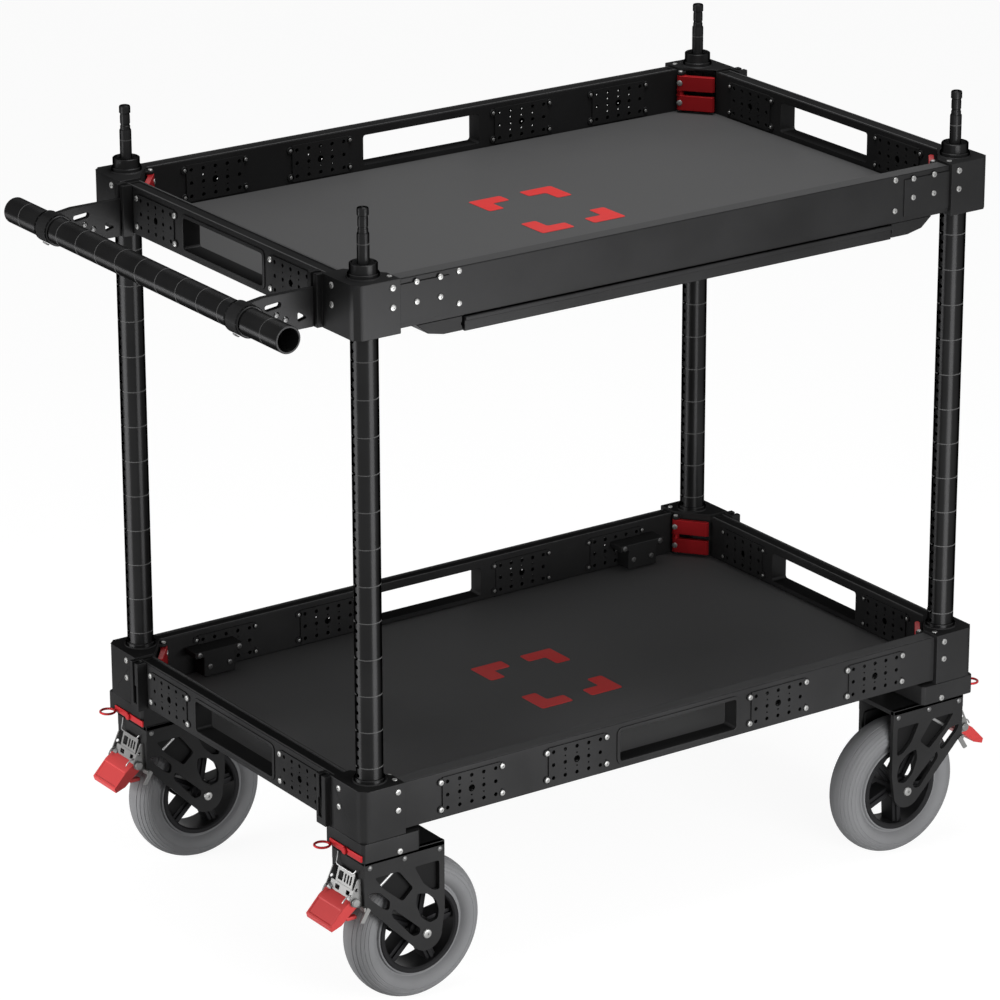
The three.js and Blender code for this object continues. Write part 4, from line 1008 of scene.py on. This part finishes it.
# %% Handle tube, arms and sleeves
HANDLE_X, HANDLE_Z, HANDLE_HALF, SOCKET_Y = -618.0, 964.0, 338.0, 236.5
WEB_HALF, SLIM_HALF, SLEEVE_SHORT, SLEEVE_REACH = 8.0, 4.0, 0.72, 26
TUBE_END = [(18.0, HANDLE_HALF - 0.6), (17.4, HANDLE_HALF), (15.5, HANDLE_HALF)]
SLEEVE_END = [(20.3, 10.8), (20.9, 11.6), (20.9, 15.4), (19.8, 16.5), (18.2, 16.5)]
ARM_BOLTS, ARM_BOLT_OUT = [(-574.0, 961.6), (-561.0, 953.4)], 4


def both_ends(end):
    """Profile whose two ends are alike, from the points of the upper one."""
    return [(r, -h) for r, h in reversed(end)] + end


def slim_web(arm, middle_y):
    """Draws the two faces of an arm's web together and shortens its sleeve."""
    for v in arm.verts:
        away = v.co.y - middle_y
        if WEB_HALF - 1.2 < abs(away) < WEB_HALF + 0.5:
            v.co.y = middle_y + away * SLIM_HALF / WEB_HALF
        elif abs(away) > WEB_HALF and math.hypot(v.co.x - HANDLE_X, v.co.z - HANDLE_Z) < SLEEVE_REACH:
            v.co.y = middle_y + away * SLEEVE_SHORT


tube = bmesh.new()
turned(tube, both_ends(TUBE_END), ROUND_STEPS, along_y(HANDLE_X, 0, HANDLE_Z), closed=True)
finish_piece(tube, "push_handle_tube", handle_finish, "handle", ["handle_tube"], even=False)

for side, hand in (("front", -1), ("back", 1)):
    node, middle_y = f"{side}_handle_arm", hand * SOCKET_Y
    arm = softened(node, 0.7)
    slim_web(arm, middle_y)
    finish_piece(arm, f"{side}_handle_truss", satin_black, "handle", [node])
    sleeve, bolts = bmesh.new(), bmesh.new()
    turned(sleeve, both_ends(SLEEVE_END), ROUND_STEPS, along_y(HANDLE_X, middle_y, HANDLE_Z), closed=True)
    finish_piece(sleeve, f"{side}_handle_sleeve", gloss_black, "handle")
    for out in (-1, 1):
        add_screws(bolts, [(x, middle_y + out * ARM_BOLT_OUT, z) for x, z in ARM_BOLTS], (0, out, 0), 0.9)
    add_screws(bolts, [(HANDLE_X - 12, middle_y, HANDLE_Z - 17.6)], (-0.56, 0, -0.83), 1.2)
    finish_piece(bolts, f"{side}_handle_bolts", rivet_black, "handle", even=False)
report("handle")

# %% [markdown]
# ## Keyboard shelf
#
# A shallow tray slides out under the upper deck on two rails. The CAD solids carry its form. The
# rails are bolted up into the tray, and the front lip has a rolled grip edge. The rails are
# coloured in the forks' darker black as painted shade, for the shadow under the deck.

# %% Shelf, rails and their bolts
RAIL_X, RAIL_BOLTS_X, RAIL_BOLTS_Y, RAIL_BOLTS_Z = 346, (9, 21), (-300, -190, -78), 919.8
GRIP = ((-344, 344), (-320.6, -317.4), (932.5, 938.5))

shelf = softened("keyboard_shelf", 0.5)
finish_piece(shelf, "sliding_shelf", satin_black, "shelf", ["keyboard_shelf"])
for side, hand in (("left", -1), ("right", 1)):
    node = f"{side}_shelf_rail"
    rail = softened(node, 0.6)
    # The rails take the forks' darker black, painted shade for the shadow under the upper deck.
    finish_piece(rail, f"{side}_slide_rail", fork_black, "upper_tray", [node])
    bolts = bmesh.new()
    spots = [(hand * (RAIL_X + reach), y, RAIL_BOLTS_Z) for reach in RAIL_BOLTS_X for y in RAIL_BOLTS_Y]
    add_screws(bolts, spots, (0, 0, -1), 0.9)
    finish_piece(bolts, f"{side}_slide_rail_bolts", nickel, "upper_tray", even=False)
grip = bmesh.new()
bar(grip, *GRIP, 1.2, 3)
finish_piece(grip, "shelf_front_lip", satin_black, "shelf")
report("shelf")

# %% [markdown]
# ## Equipment brackets
#
# Two stepped blocks on the back wall of the lower tray hold battery plates and power strips.
# Their screws are placed from the box of the CAD solid.

# %% Brackets
for side in ("left", "right"):
    node = f"{side}_equipment_bracket"
    low, high = (1000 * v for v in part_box(node))
    block = softened(node, 0.8)
    finish_piece(block, f"{side}_bracket_block", satin_black, "lower_frame", [node])
    bolts = bmesh.new()
    middle = (low.x + high.x) / 2 - 1000 * TRAY_MIDDLE
    for apart, z in ((32, high.z - 4.5), (16, low.z + 14)):
        add_screws(bolts, [(middle + x, low.y, z) for x in (-apart, apart)], (0, -1, 0))
    finish_piece(bolts, f"{side}_bracket_screws", rivet_black, "lower_frame", even=False)
report("brackets")

# %% [markdown]
# ## Casters
#
# A caster is a fork that swivels under its mount, with the wheel's axle behind the swivel axis.
# Every part is drawn in the caster's own place: X from the swivel axis towards the trailing axle,
# Z up from the floor. The two ends of the cart face opposite ways, so the right-hand ones are
# turned half round.

# %% The caster's own place
TRAIL, WHEEL, FORK_TOP, LEAD = 56.5, 100.0, 227.0, 40.0
SWIVEL_X, SWIVEL_Y = 461.5, 274.5


def caster_place(corner):
    sx, sy = CORNERS[corner]
    turn = Matrix.Rotation(math.pi if sx > 0 else 0, 4, "Z")
    return Matrix.Translation((sx * SWIVEL_X, sy * SWIVEL_Y, 0)) @ turn


print("Axle behind the swivel axis, mm:", TRAIL, "wheel radius, mm:", WHEEL)

# %% [markdown]
# ### Tyre and rim
#
# The tyre is one turned section: bead, a shallow ring groove, a swelling side wall, a shoulder
# and a grooved tread. The rim is moulded nylon: a channel-shaped ring, a hub with a bearing
# ring, and five flat spokes with a rib down the middle of each. Wheels stop where they stop, so
# each rim stands at its own turn.

# %% Tyre and rim shapes
TYRE_HALF = [
    (59.7, 15.0), (60.0, 19.4), (61.8, 20.8), (63.8, 20.4), (65.2, 17.4), (67.4, 17.2), (69.6, 20.0),
    (73.0, 23.0), (76.5, 24.5), (79.5, 25.0), (82.4, 24.9), (82.8, 24.3), (83.6, 24.2), (84.0, 24.6),
    (87.4, 23.5), (87.7, 22.8), (88.4, 22.5), (88.9, 22.8), (91.8, 20.8), (91.9, 20.0), (92.5, 19.5),
    (93.1, 19.7), (95.6, 16.4), (95.4, 15.6), (95.9, 14.8), (96.6, 14.8), (98.3, 10.8), (98.0, 10.0),
    (98.2, 9.0), (98.9, 8.8), (99.7, 4.8), (100.0, 0.8),
]
RIM_HALF = [
    (54.0, 12.0), (54.0, 20.5), (56.0, 22.5), (60.6, 22.5),
    (61.6, 21.6), (61.6, 20.8), (59.6, 19.8), (58.0, 4.0),
]
HUB_HALF = [(5.2, 29.0), (10.5, 29.0), (11.5, 28.0), (11.5, 24.0), (16.0, 22.0), (17.0, 20.0), (17.0, 2.0)]
RIM_TURN = {"front_left": 0.9, "back_left": 0.9, "front_right": 0.3, "back_right": 0.5}
SPOKES = 5


def half_section(points):
    """Mirrors (radius, offset) points so that a wheel's section is the same on both sides."""
    return [(r, -w) for r, w in points] + [(r, w) for r, w in reversed(points)]


def tyre_shape():
    shape = bmesh.new()
    turned(shape, half_section(TYRE_HALF), 96, along_y(TRAIL, 0, WHEEL), closed=True)
    return shape


def rim_shape(turn):
    """Hub, ring and spokes, turned by a share of the step between two spokes."""
    shape = bmesh.new()
    centre = along_y(TRAIL, 0, WHEEL)
    turned(shape, half_section(RIM_HALF), 72, centre, closed=True)
    turned(shape, half_section(HUB_HALF), 32, centre, closed=True)
    for index in range(SPOKES):
        angle = 2 * math.pi * (index + turn) / SPOKES
        spoke = bmesh.new()
        bar(spoke, (14.5, 56.0), (-13.0, 13.0), (-7.5, 7.5), 1.6)
        bar(spoke, (14.5, 55.0), (-16.0, 16.0), (-2.4, 2.4), 0.8)
        hand_over(shape, spoke, Matrix.Translation((TRAIL, 0, WHEEL)) @ Matrix.Rotation(angle, 4, "Y"))
    return shape


print("Points round the tyre's section:", 2 * len(TYRE_HALF))

# %% [markdown]
# ### Fork
#
# Two plates with triangular windows carry the axle, under a crown plate with the swivel's
# bearing cup. The window outlines follow the plate's struts. Thin near-black plates behind the
# upper windows are painted shade, the dark that falls under the crown; rivets sit along the
# crown, and the axle ends in a flanged nut.

# %% Fork shapes
BOSS, FORK_BACK, FORK_LEAD_LOW, FORK_BACK_LOW = 24.0, 85.0, 164.0, 128.0
FORK_INNER, FORK_THICK, CROWN_HALF, CROWN_THICK, FOLD, FOLD_LOW = 32.0, 6.0, 38.8, 7, 37.4, 205.5
BEND_STEPS = 12
FORK_WINDOWS = [
    [(38, 200), (77, 200), (77, 158), (66, 160), (52, 173)],
    [(-24, 200), (14, 200), (36, 171), (19, 156), (-10, 181)],
    [(42, 161), (58, 157), (71, 145), (76, 130), (74, 117), (61, 114), (48, 125), (40, 146)],
    [(-35, 181), (-17, 178), (0, 161), (-2, 149), (-9, 151), (-31, 172)],
    [(4, 149), (47, 110), (45, 102), (35, 101), (2, 139)],
]
# Outline and places of the near-black plates that paint the shade behind the upper windows.
FORK_SHADE_OUTLINE = [(-34, 204), (82, 204), (82, 156), (64, 158), (40, 170), (20, 152), (-12, 176), (-34, 178)]
SHADE_PLATE_PLACES, SHADE_PLATE_THICK = (-27.6, 31.0), 3.4
CUP = [(12, 226), (27, 226), (28, 227), (28, 228.2), (26.5, 228.5), (12, 228.5)]
KINGPIN = [(0, 220), (12, 220), (12, 240.4), (11.4, 241), (0, 241)]
RIVET_DOME, RIVET_PLACES, RIVET_Z = [(0, 0), (3.9, 0), (3.6, 1.2), (2.4, 2.0), (0, 2.4)], (-32, 22, 77), 216.5
AXLE_HALF, AXLE_RADIUS, NUT_SIZE = 38, 5.0, 1.65


def fork_outline():
    """Side view of a fork plate, its lower end rounded about the axle."""
    lead, boss = Vector((-LEAD, FORK_LEAD_LOW)), Vector((TRAIL, WHEEL))
    reach = boss - lead
    slant = math.degrees(math.atan2(reach.y, reach.x) - math.asin(BOSS / reach.length)) - 90
    turns = [math.radians(slant * (1 - i / BEND_STEPS)) for i in range(BEND_STEPS + 1)]
    bend = [(TRAIL + BOSS * math.cos(a), WHEEL + BOSS * math.sin(a)) for a in turns]
    back = [(FORK_BACK, FORK_BACK_LOW), (FORK_BACK, FORK_TOP)]
    return [(-LEAD, FORK_TOP), (-LEAD, FORK_LEAD_LOW), *bend, *back]


def fork_shape():
    shape = bmesh.new()
    windows = [softened_polygon(points, 4.0) for points in FORK_WINDOWS]
    for y in (-FORK_INNER, FORK_INNER + FORK_THICK):
        cut_plate(shape, fork_outline(), windows, FORK_THICK, standing(y), radius=1.0, segments=2)
    long = (-LEAD, FORK_BACK)
    bar(shape, long, (-CROWN_HALF, CROWN_HALF), (FORK_TOP - CROWN_THICK, FORK_TOP), 0.9)
    for hand in (-1, 1):
        bar(shape, long, sorted((hand * FOLD, hand * CROWN_HALF)), (FOLD_LOW, FORK_TOP - 0.5), 0.5)
    bar(shape, (-LEAD, -LEAD + 2.5), (-32.5, 32.5), (178, FORK_TOP - 4), 0.6)
    turned(shape, CUP, 32, closed=True)
    turned(shape, KINGPIN, 24)
    return shape


def fork_shade_plates():
    """Near-black inner plates behind the upper windows, painted shade for the dark under the crown."""
    shape = bmesh.new()
    for y in SHADE_PLATE_PLACES:
        cut_plate(shape, softened_polygon(FORK_SHADE_OUTLINE, 5.0), [], SHADE_PLATE_THICK, standing(y), radius=0.6)
    return shape


def fork_rivets():
    """Domed rivets along the crown's folded sides."""
    shape = bmesh.new()
    for hand in (-1, 1):
        for x in RIVET_PLACES:
            place = Matrix.Translation((x, hand * 38.6, RIVET_Z)) @ facing((0, hand, 0))
            turned(shape, RIVET_DOME, 14, place)
    return shape


def axle_nuts():
    """The axle and a flanged nut with a hex recess at both of its ends."""
    shape = bmesh.new()
    for hand in (-1, 1):
        add_screws(shape, [(TRAIL, hand * AXLE_HALF, WHEEL)], (0, hand, 0), NUT_SIZE)
    round_bar(shape, (TRAIL, -AXLE_HALF, WHEEL), (TRAIL, AXLE_HALF, WHEEL), AXLE_RADIUS)
    return shape


print("Points of the fork's outline:", len(fork_outline()))

# %% [markdown]
# ### Brake
#
# The total-lock brake sits on the fork's leading edge. A slanted zinc plated plate with slots and
# two ears carries the pedal's pin, a wire bail returns over its top, and a torsion spring is
# wound round the pin at each end. A spring is a true helix: a small ring of wire is spun round
# the pin while it moves along it. Two folded tabs hook round the fork. Wire is a short curve with
# a round bevel that is made a mesh at once.

# %% Wire and springs
COIL_STEPS = 12


def wire(shape, points, radius):
    """Bends wire through points."""
    curve = bpy.data.curves.new("wire", "CURVE")
    curve.dimensions = "3D"
    curve.bevel_depth = radius
    curve.bevel_resolution = 2
    curve.use_fill_caps = True
    line = curve.splines.new("NURBS")
    line.points.add(len(points) - 1)
    for spot, place in zip(line.points, points):
        spot.co = (*place, 1)
    line.use_endpoint_u = True
    line.order_u = 3
    line.resolution_u = 6
    holder = bpy.data.objects.new("wire", curve)
    bent = bmesh.new()
    bent.from_mesh(holder.to_mesh())
    holder.to_mesh_clear()
    hand_over(shape, bent)
    bpy.data.objects.remove(holder)
    bpy.data.curves.remove(curve)


def helix(shape, length, coil_radius, wire_radius, turns, start):
    coil = bmesh.new()
    ring = bmesh.ops.create_circle(coil, segments=6, radius=wire_radius, cap_ends=False)
    across = Matrix.Translation((coil_radius, 0, 0)) @ UPRIGHT
    bmesh.ops.transform(coil, matrix=across, verts=ring["verts"])
    steps = turns * COIL_STEPS
    bmesh.ops.spin(
        coil, geom=list(coil.verts) + list(coil.edges), cent=(0, 0, 0), axis=(0, 0, 1),
        dvec=(0, 0, length / steps), angle=2 * math.pi * turns, steps=steps,
    )
    bmesh.ops.holes_fill(coil, edges=[e for e in coil.edges if e.is_boundary])
    close_seams(coil, WELD)
    hand_over(shape, coil, start)


trial = bmesh.new()
wire(trial, [(0, 0, 0), (5, 0, 0), (5, 5, 0)], 1.0)
print("Faces of a short wire:", len(trial.faces))
trial.free()

# %% [markdown]
# The bracket's two plates lean with the brake. They are drawn in Y and up their slope. The ears
# and the tabs stand along the cart instead, one at each side of the fork.

# %% Brake bracket and wires
PIVOT_X, PIVOT_Z = -50.0, 170.0
SLOPE = math.radians(16.5)
SLOTS = [(-17.5, -13.9), (-11.0, -7.4), (-4.5, -0.9), (2.5, 13)]
EAR_SIDE = [(-39, 160), (-39, 200), (-44.5, 201), (-56.5, 175.5), (-56, 166), (-50, 162)]
TAB_SIDE = [(-37, 163), (-32, 158.5), (-42.5, 141.5), (-49, 143.5)]
EAR_PLACES, TAB_PLACES, TAB_THICK = (-28.6, 30.6), ((-1, -38.9), (1, 41.1)), 2.2
PIVOT_HEAD = [(0, 0), (6.0, 0), (6.0, 1.4), (4.8, 2.6), (0, 2.8)]
BAIL = [
    (-41.5, 21, 222), (-43.0, 20.5, 213), (-46.0, 19, 206.5), (-46.2, 12, 205.8),
    (-46.2, -18, 205.8), (-46.0, -23.5, 206.5), (-43.5, -25, 211),
]
SPRING_STARTS = (-27.0, 19.0)


def leaning(x, z):
    """Place of a plate drawn in Y and up its slope, its face towards -X."""
    lie = Matrix(((0, 0, -1, 0), (1, 0, 0, 0), (0, 1, 0, 0), (0, 0, 0, 1)))
    return Matrix.Translation((x, 0, z)) @ Matrix.Rotation(SLOPE, 4, "Y") @ lie


def bracket_shape():
    shape = bmesh.new()
    slots = [rounded_rectangle(y0, 5, y1, 17, 1.5) for y0, y1 in SLOTS]
    cut_plate(shape, rounded_rectangle(-22, 0, 17, 22.5, 1.5), slots, 1.6, leaning(-48.2, 182.5), radius=0.3)
    windows = [rounded_rectangle(4, 3.4, 14, 9.6, 1.2), rounded_rectangle(-20, 3.4, -12, 9.6, 1.2)]
    cut_plate(shape, rounded_rectangle(-31, 0, 25, 13, 1.5), windows, 1.8, leaning(-51.8, 171.5), radius=0.3)
    for y in EAR_PLACES:
        pierced = [ring_points(-47.0, 186.0, 2.4, 10)]
        cut_plate(shape, softened_polygon(EAR_SIDE, 2.2), pierced, 2.0, standing(y), radius=0.4)
    for hand, y in TAB_PLACES:
        cut_plate(shape, softened_polygon(TAB_SIDE, 1.5), [], TAB_THICK, standing(y), radius=0.4)
        bar(shape, (-42.0, -39.2), sorted((hand * 29, hand * 40.5)), (157, 163), 0.4)
        head = Matrix.Translation((PIVOT_X, hand * 32.5, PIVOT_Z)) @ facing((0, hand, 0))
        turned(shape, PIVOT_HEAD, 20, head)
    round_bar(shape, (PIVOT_X, -35.0, PIVOT_Z), (PIVOT_X, 35.0, PIVOT_Z), 3.3)
    return shape


def brake_wires():
    """Return springs, wire bail and the lock rod between the fork's plates."""
    shape = bmesh.new()
    for start in SPRING_STARTS:
        helix(shape, 8.0, 5.2, 1.15, 4, along_y(PIVOT_X, start, PIVOT_Z + 1.5))
    wire(shape, BAIL, 1.0)
    for hand in (-1, 1):
        leg = [(-47, 26, 178), (-55, 26.5, 179), (-62, 25, 176), (-65, 24, 170)]
        wire(shape, [(x, hand * y, z) for x, y, z in leg], 1.0)
        round_bar(shape, (8.7, hand * 29, 197), (-12, hand * 29, 182), 3.0, 14)
    return shape


print("Lean of the bracket, degrees:", round(math.degrees(SLOPE), 1))

# %% [markdown]
# The pedal is a moulded nylon wedge that swings on the pin, with rounded edges and a shallow
# grip recess in its tread. The side profile is drawn, pulled to the pedal's width and eased.

# %% Pedal shape
PEDAL_HALF, PEDAL_ROUND, PEDAL_CREASE = 29.5, 1.8, 0.6
TREAD_EDGE, TREAD_SLOPE, TREAD_DEEP = 4.5, 1.0, 0.9
PEDAL_SIDE = [
    (-67, 164.5), (-87.6, 142.6), (-85.5, 136), (-70, 141.5), (-57, 153),
    (-47, 160.5), (-44.5, 168), (-49, 173.5), (-57, 171.5),
]


def pedal_shape():
    shape = bmesh.new()
    wedge = filled(PEDAL_SIDE)
    thicken(wedge, 2 * PEDAL_HALF)
    tread = max(wedge.faces, key=lambda f: f.calc_area() if f.normal.x < -0.5 else 0)
    bmesh.ops.inset_region(wedge, faces=[tread], thickness=TREAD_EDGE, depth=0)
    bmesh.ops.inset_region(wedge, faces=[tread], thickness=TREAD_SLOPE, depth=-TREAD_DEEP)
    rims = [e for e in wedge.edges if e.calc_face_angle(0) > PEDAL_CREASE]
    round_edges(wedge, rims, PEDAL_ROUND, 3)
    hand_over(shape, wedge, standing(PEDAL_HALF))
    bar(shape, (-62, -46), (-29, -21), (145, 150), 1.2)
    return shape


print("Width of a pedal, mm:", 2 * PEDAL_HALF)

# %% [markdown]
# ### Release latch
#
# Pulling the red ring draws a pin out of the mount and lets the caster drop out. The latch is a
# flat red strip on the mount's end face, with a wire ring at one end.

# %% Latch shape
LATCH_STRIP = ((-51.6, -48.8), (-48.5, 26.5), (232.5, 241.5))
LATCH_Y, LATCH_Z, LATCH_BUTTON = -11, 237, [(0, 0), (5.2, 0), (5.2, 1.6), (4.2, 2.6), (0, 2.8)]
RING_RADIUS, RING_WIRE, RING_PLACE = 10.2, 1.7, (-63.3, 25.5, 234.5)


def latch_shape():
    shape = bmesh.new()
    bar(shape, *LATCH_STRIP, 1.1)
    round_bar(shape, (-48.9, LATCH_Y, LATCH_Z), (-35, LATCH_Y, LATCH_Z), 4.0)
    turned(shape, LATCH_BUTTON, 16, Matrix.Translation((-51.8, LATCH_Y, LATCH_Z)) @ facing((-1, 0, 0)))
    turned(shape, ring_points(RING_RADIUS, 0, RING_WIRE, 10), 32, Matrix.Translation(RING_PLACE), closed=True)
    return shape


print("Diameter of the latch's ring, mm:", round(2 * (RING_RADIUS + RING_WIRE), 1))

# %% [markdown]
# Each corner gets the same set of parts. A table says what shape each one has, its piece's name
# and finish, the body that carries it, and for some the slot and the CAD solid it stands for. The
# last column is false for round parts, whose shading is already even. The caster's bodies are
# the wheel, the swivelling fork, the brake's pedal and the latch. Only the rim is drawn with a
# turn of its own.

# %% Build the casters
CASTER_PARTS = [
    (tyre_shape, "grey_tyre", tyre_grey, "wheel", "tyre_rubber", "tyre", False),
    (rim_shape, "spoked_rim", rim_black, "wheel", "rim_black", "wheel_rim", True),
    (fork_shape, "fork", fork_black, "caster", "frame_coat", "caster_fork", True),
    # The plates behind the fork's upper windows are painted shade in near-black.
    (fork_shade_plates, "fork_shade_plates", shadow_black, "caster", None, None, True),
    (fork_rivets, "fork_rivets", rivet_black, "caster", None, None, False),
    (axle_nuts, "axle_nuts", nickel, "caster", None, None, False),
    (bracket_shape, "brake_bracket", zinc, "caster", None, None, True),
    (brake_wires, "brake_spring", spring_steel, "caster", None, None, False),
    (pedal_shape, "red_pedal", red_nylon, "brake", "red_plastic", "brake_pedal", True),
    (latch_shape, "red_latch", red_anodised, "latch", "red_coat", "release_latch", True),
]
MOUNT_SCREW_X, MOUNT_SCREW_Z = SWIVEL_X - 8.5, 234.0

for corner, (sx, sy) in CORNERS.items():
    for draw, part, finish, carrier, slot, node, even in CASTER_PARTS:
        body, solids = f"{corner}_{carrier}", [f"{corner}_{node}"] if node else ()
        shape = draw(RIM_TURN[corner]) if draw is rim_shape else draw()
        finish_piece(shape, f"{corner}_{part}", finish, body, solids, caster_place(corner), even)
    screw = bmesh.new()
    add_screws(screw, [(sx * MOUNT_SCREW_X, sy * HALF_Y, MOUNT_SCREW_Z)], (0, sy, 0), 1.1)
    finish_piece(screw, f"{corner}_mount_screw", nickel, "lower_frame", even=False)
report("casters")

# %% [markdown]
# ## Floor, light and camera
#
# The cart stands in a white studio. The floor is a pale sheet that takes the cart's soft shadow.
# The camera, mirror-like metal and glass see it lifted to white, while it sends only its own pale
# bounce back to the cart. The world does the same.

# %% Floor and world
FLOOR_HALF, FLOOR_BOUNCE, FLOOR_SHOWN, FLOOR_LIFT, WORLD_LIGHT = 14, 0.55, 0.17, 0.92, 0.2


def grey(value):
    return (value, value, value, 1)


def two_faced(tree, output, felt, seen):
    """Camera, glossy and transmission rays see one shader, and the other lights the scene."""
    path = tree.nodes.new("ShaderNodeLightPath")
    direct = path.outputs["Is Camera Ray"]
    for kind in ("Is Glossy Ray", "Is Transmission Ray"):
        direct = maths(tree, "MAXIMUM", direct, path.outputs[kind])
    mix = tree.nodes.new("ShaderNodeMixShader")
    tree.links.new(direct, mix.inputs["Fac"])
    tree.links.new(felt.outputs[0], mix.inputs[1])
    tree.links.new(seen.outputs[0], mix.inputs[2])
    tree.links.new(mix.outputs[0], tree.nodes.new(output).inputs["Surface"])


floor_finish, tree, _ = new_finish("studio_floor")
tree.nodes.clear()
bounce, shown = tree.nodes.new("ShaderNodeBsdfDiffuse"), tree.nodes.new("ShaderNodeBsdfDiffuse")
bounce.inputs["Color"].default_value = grey(FLOOR_BOUNCE)
shown.inputs["Color"].default_value = grey(FLOOR_SHOWN)
lift, lifted = tree.nodes.new("ShaderNodeEmission"), tree.nodes.new("ShaderNodeAddShader")
lift.inputs["Strength"].default_value = FLOOR_LIFT
tree.links.new(shown.outputs[0], lifted.inputs[0])
tree.links.new(lift.outputs[0], lifted.inputs[1])
two_faced(tree, "ShaderNodeOutputMaterial", bounce, lifted)

sheet = bmesh.new()
bmesh.ops.create_grid(sheet, x_segments=1, y_segments=1, size=FLOOR_HALF)
floor_mesh = bpy.data.meshes.new("studio_floor")
sheet.to_mesh(floor_mesh)
sheet.free()
floor_mesh.materials.append(floor_finish)
floor = bpy.data.objects.new("studio_floor", floor_mesh)
bpy.context.scene.collection.objects.link(floor)

world = bpy.data.worlds.new("studio")
bpy.context.scene.world = world
world.use_nodes = True
tree = world.node_tree
tree.nodes.clear()
light, white = tree.nodes.new("ShaderNodeBackground"), tree.nodes.new("ShaderNodeBackground")
for background, strength in ((light, WORLD_LIGHT), (white, 1.0)):
    background.inputs["Color"].default_value = grey(1)
    background.inputs["Strength"].default_value = strength
two_faced(tree, "ShaderNodeOutputWorld", light, white)
print("Half width of the floor, m:", FLOOR_HALF)

# %% [markdown]
# Glossy black tube is shaped by what it mirrors. Seen from above, upright tubes mirror things low
# down, so two low, wide soft boxes stand on the floor just outside the picture, to the left and
# in front, and draw the pale lines down the posts. A large one overhead lights the decks and
# hardly touches the upright walls, which keeps the insides of the trays dark.

# %% Soft boxes
SOFT_BOXES = {
    "left_box": ((-1.65, 0.47, 0.34), (0.0, 0.0, 0.34), 0.9, 0.64, 10.5),
    "front_box": ((0.1, -1.6, 0.34), (-0.1, 0.0, 0.34), 0.95, 0.64, 11.0),
    "overhead_box": ((0.25, -0.25, 3.0), (0.05, 0.0, 0.94), 1.7, 1.3, 5.0),
}

for name, (place, aim, width, tall, radiance) in SOFT_BOXES.items():
    lamp = bpy.data.lights.new(name, "AREA")
    lamp.shape = "RECTANGLE"
    lamp.size, lamp.size_y = width, tall
    lamp.energy = radiance * math.pi * width * tall
    holder = bpy.data.objects.new(name, lamp)
    holder.location = place
    holder.rotation_euler = (Vector(place) - Vector(aim)).to_track_quat("Z", "Y").to_euler()
    holder.visible_camera = False
    bpy.context.scene.collection.objects.link(holder)
    print(name, "sends", round(lamp.energy, 1), "W")

# %% [markdown]
# The camera stands three-quarters to the front and a little above, with a long lens. Its place
# comes from matching the trays' corners: 35 degrees round to the left and 20 degrees up. A small
# shift gives the photograph's framing.

# %% Camera
AZIMUTH, ELEVATION = math.radians(-35.04), math.radians(20.05)
CAMERA_PLACE, FOCAL, SHIFT = (-3.5256, -5.0639, 2.7890), 172.76, (-0.0309, -0.0013)

flat = math.cos(ELEVATION)
back = Vector((math.sin(AZIMUTH) * flat, -math.cos(AZIMUTH) * flat, math.sin(ELEVATION)))
right = Vector((math.cos(AZIMUTH), math.sin(AZIMUTH), 0))
axes = Matrix((right, back.cross(right), back)).transposed()
lens = bpy.data.cameras.new("camera")
lens.sensor_width, lens.lens = 36.0, FOCAL
lens.shift_x, lens.shift_y = SHIFT
lens.clip_end = 100.0
camera = bpy.data.objects.new("camera", lens)
camera.matrix_world = Matrix.Translation(CAMERA_PLACE) @ axes.to_4x4()
bpy.context.scene.collection.objects.link(camera)
bpy.context.scene.camera = camera
bpy.context.scene.view_settings.view_transform = "Standard"
print("Camera to the cart's middle, m:", round(Vector(CAMERA_PLACE).length, 2))

# %% Free the drawn parts
for drawn in (SCREW, HOLE_PLATE, TUBE):
    drawn.free()
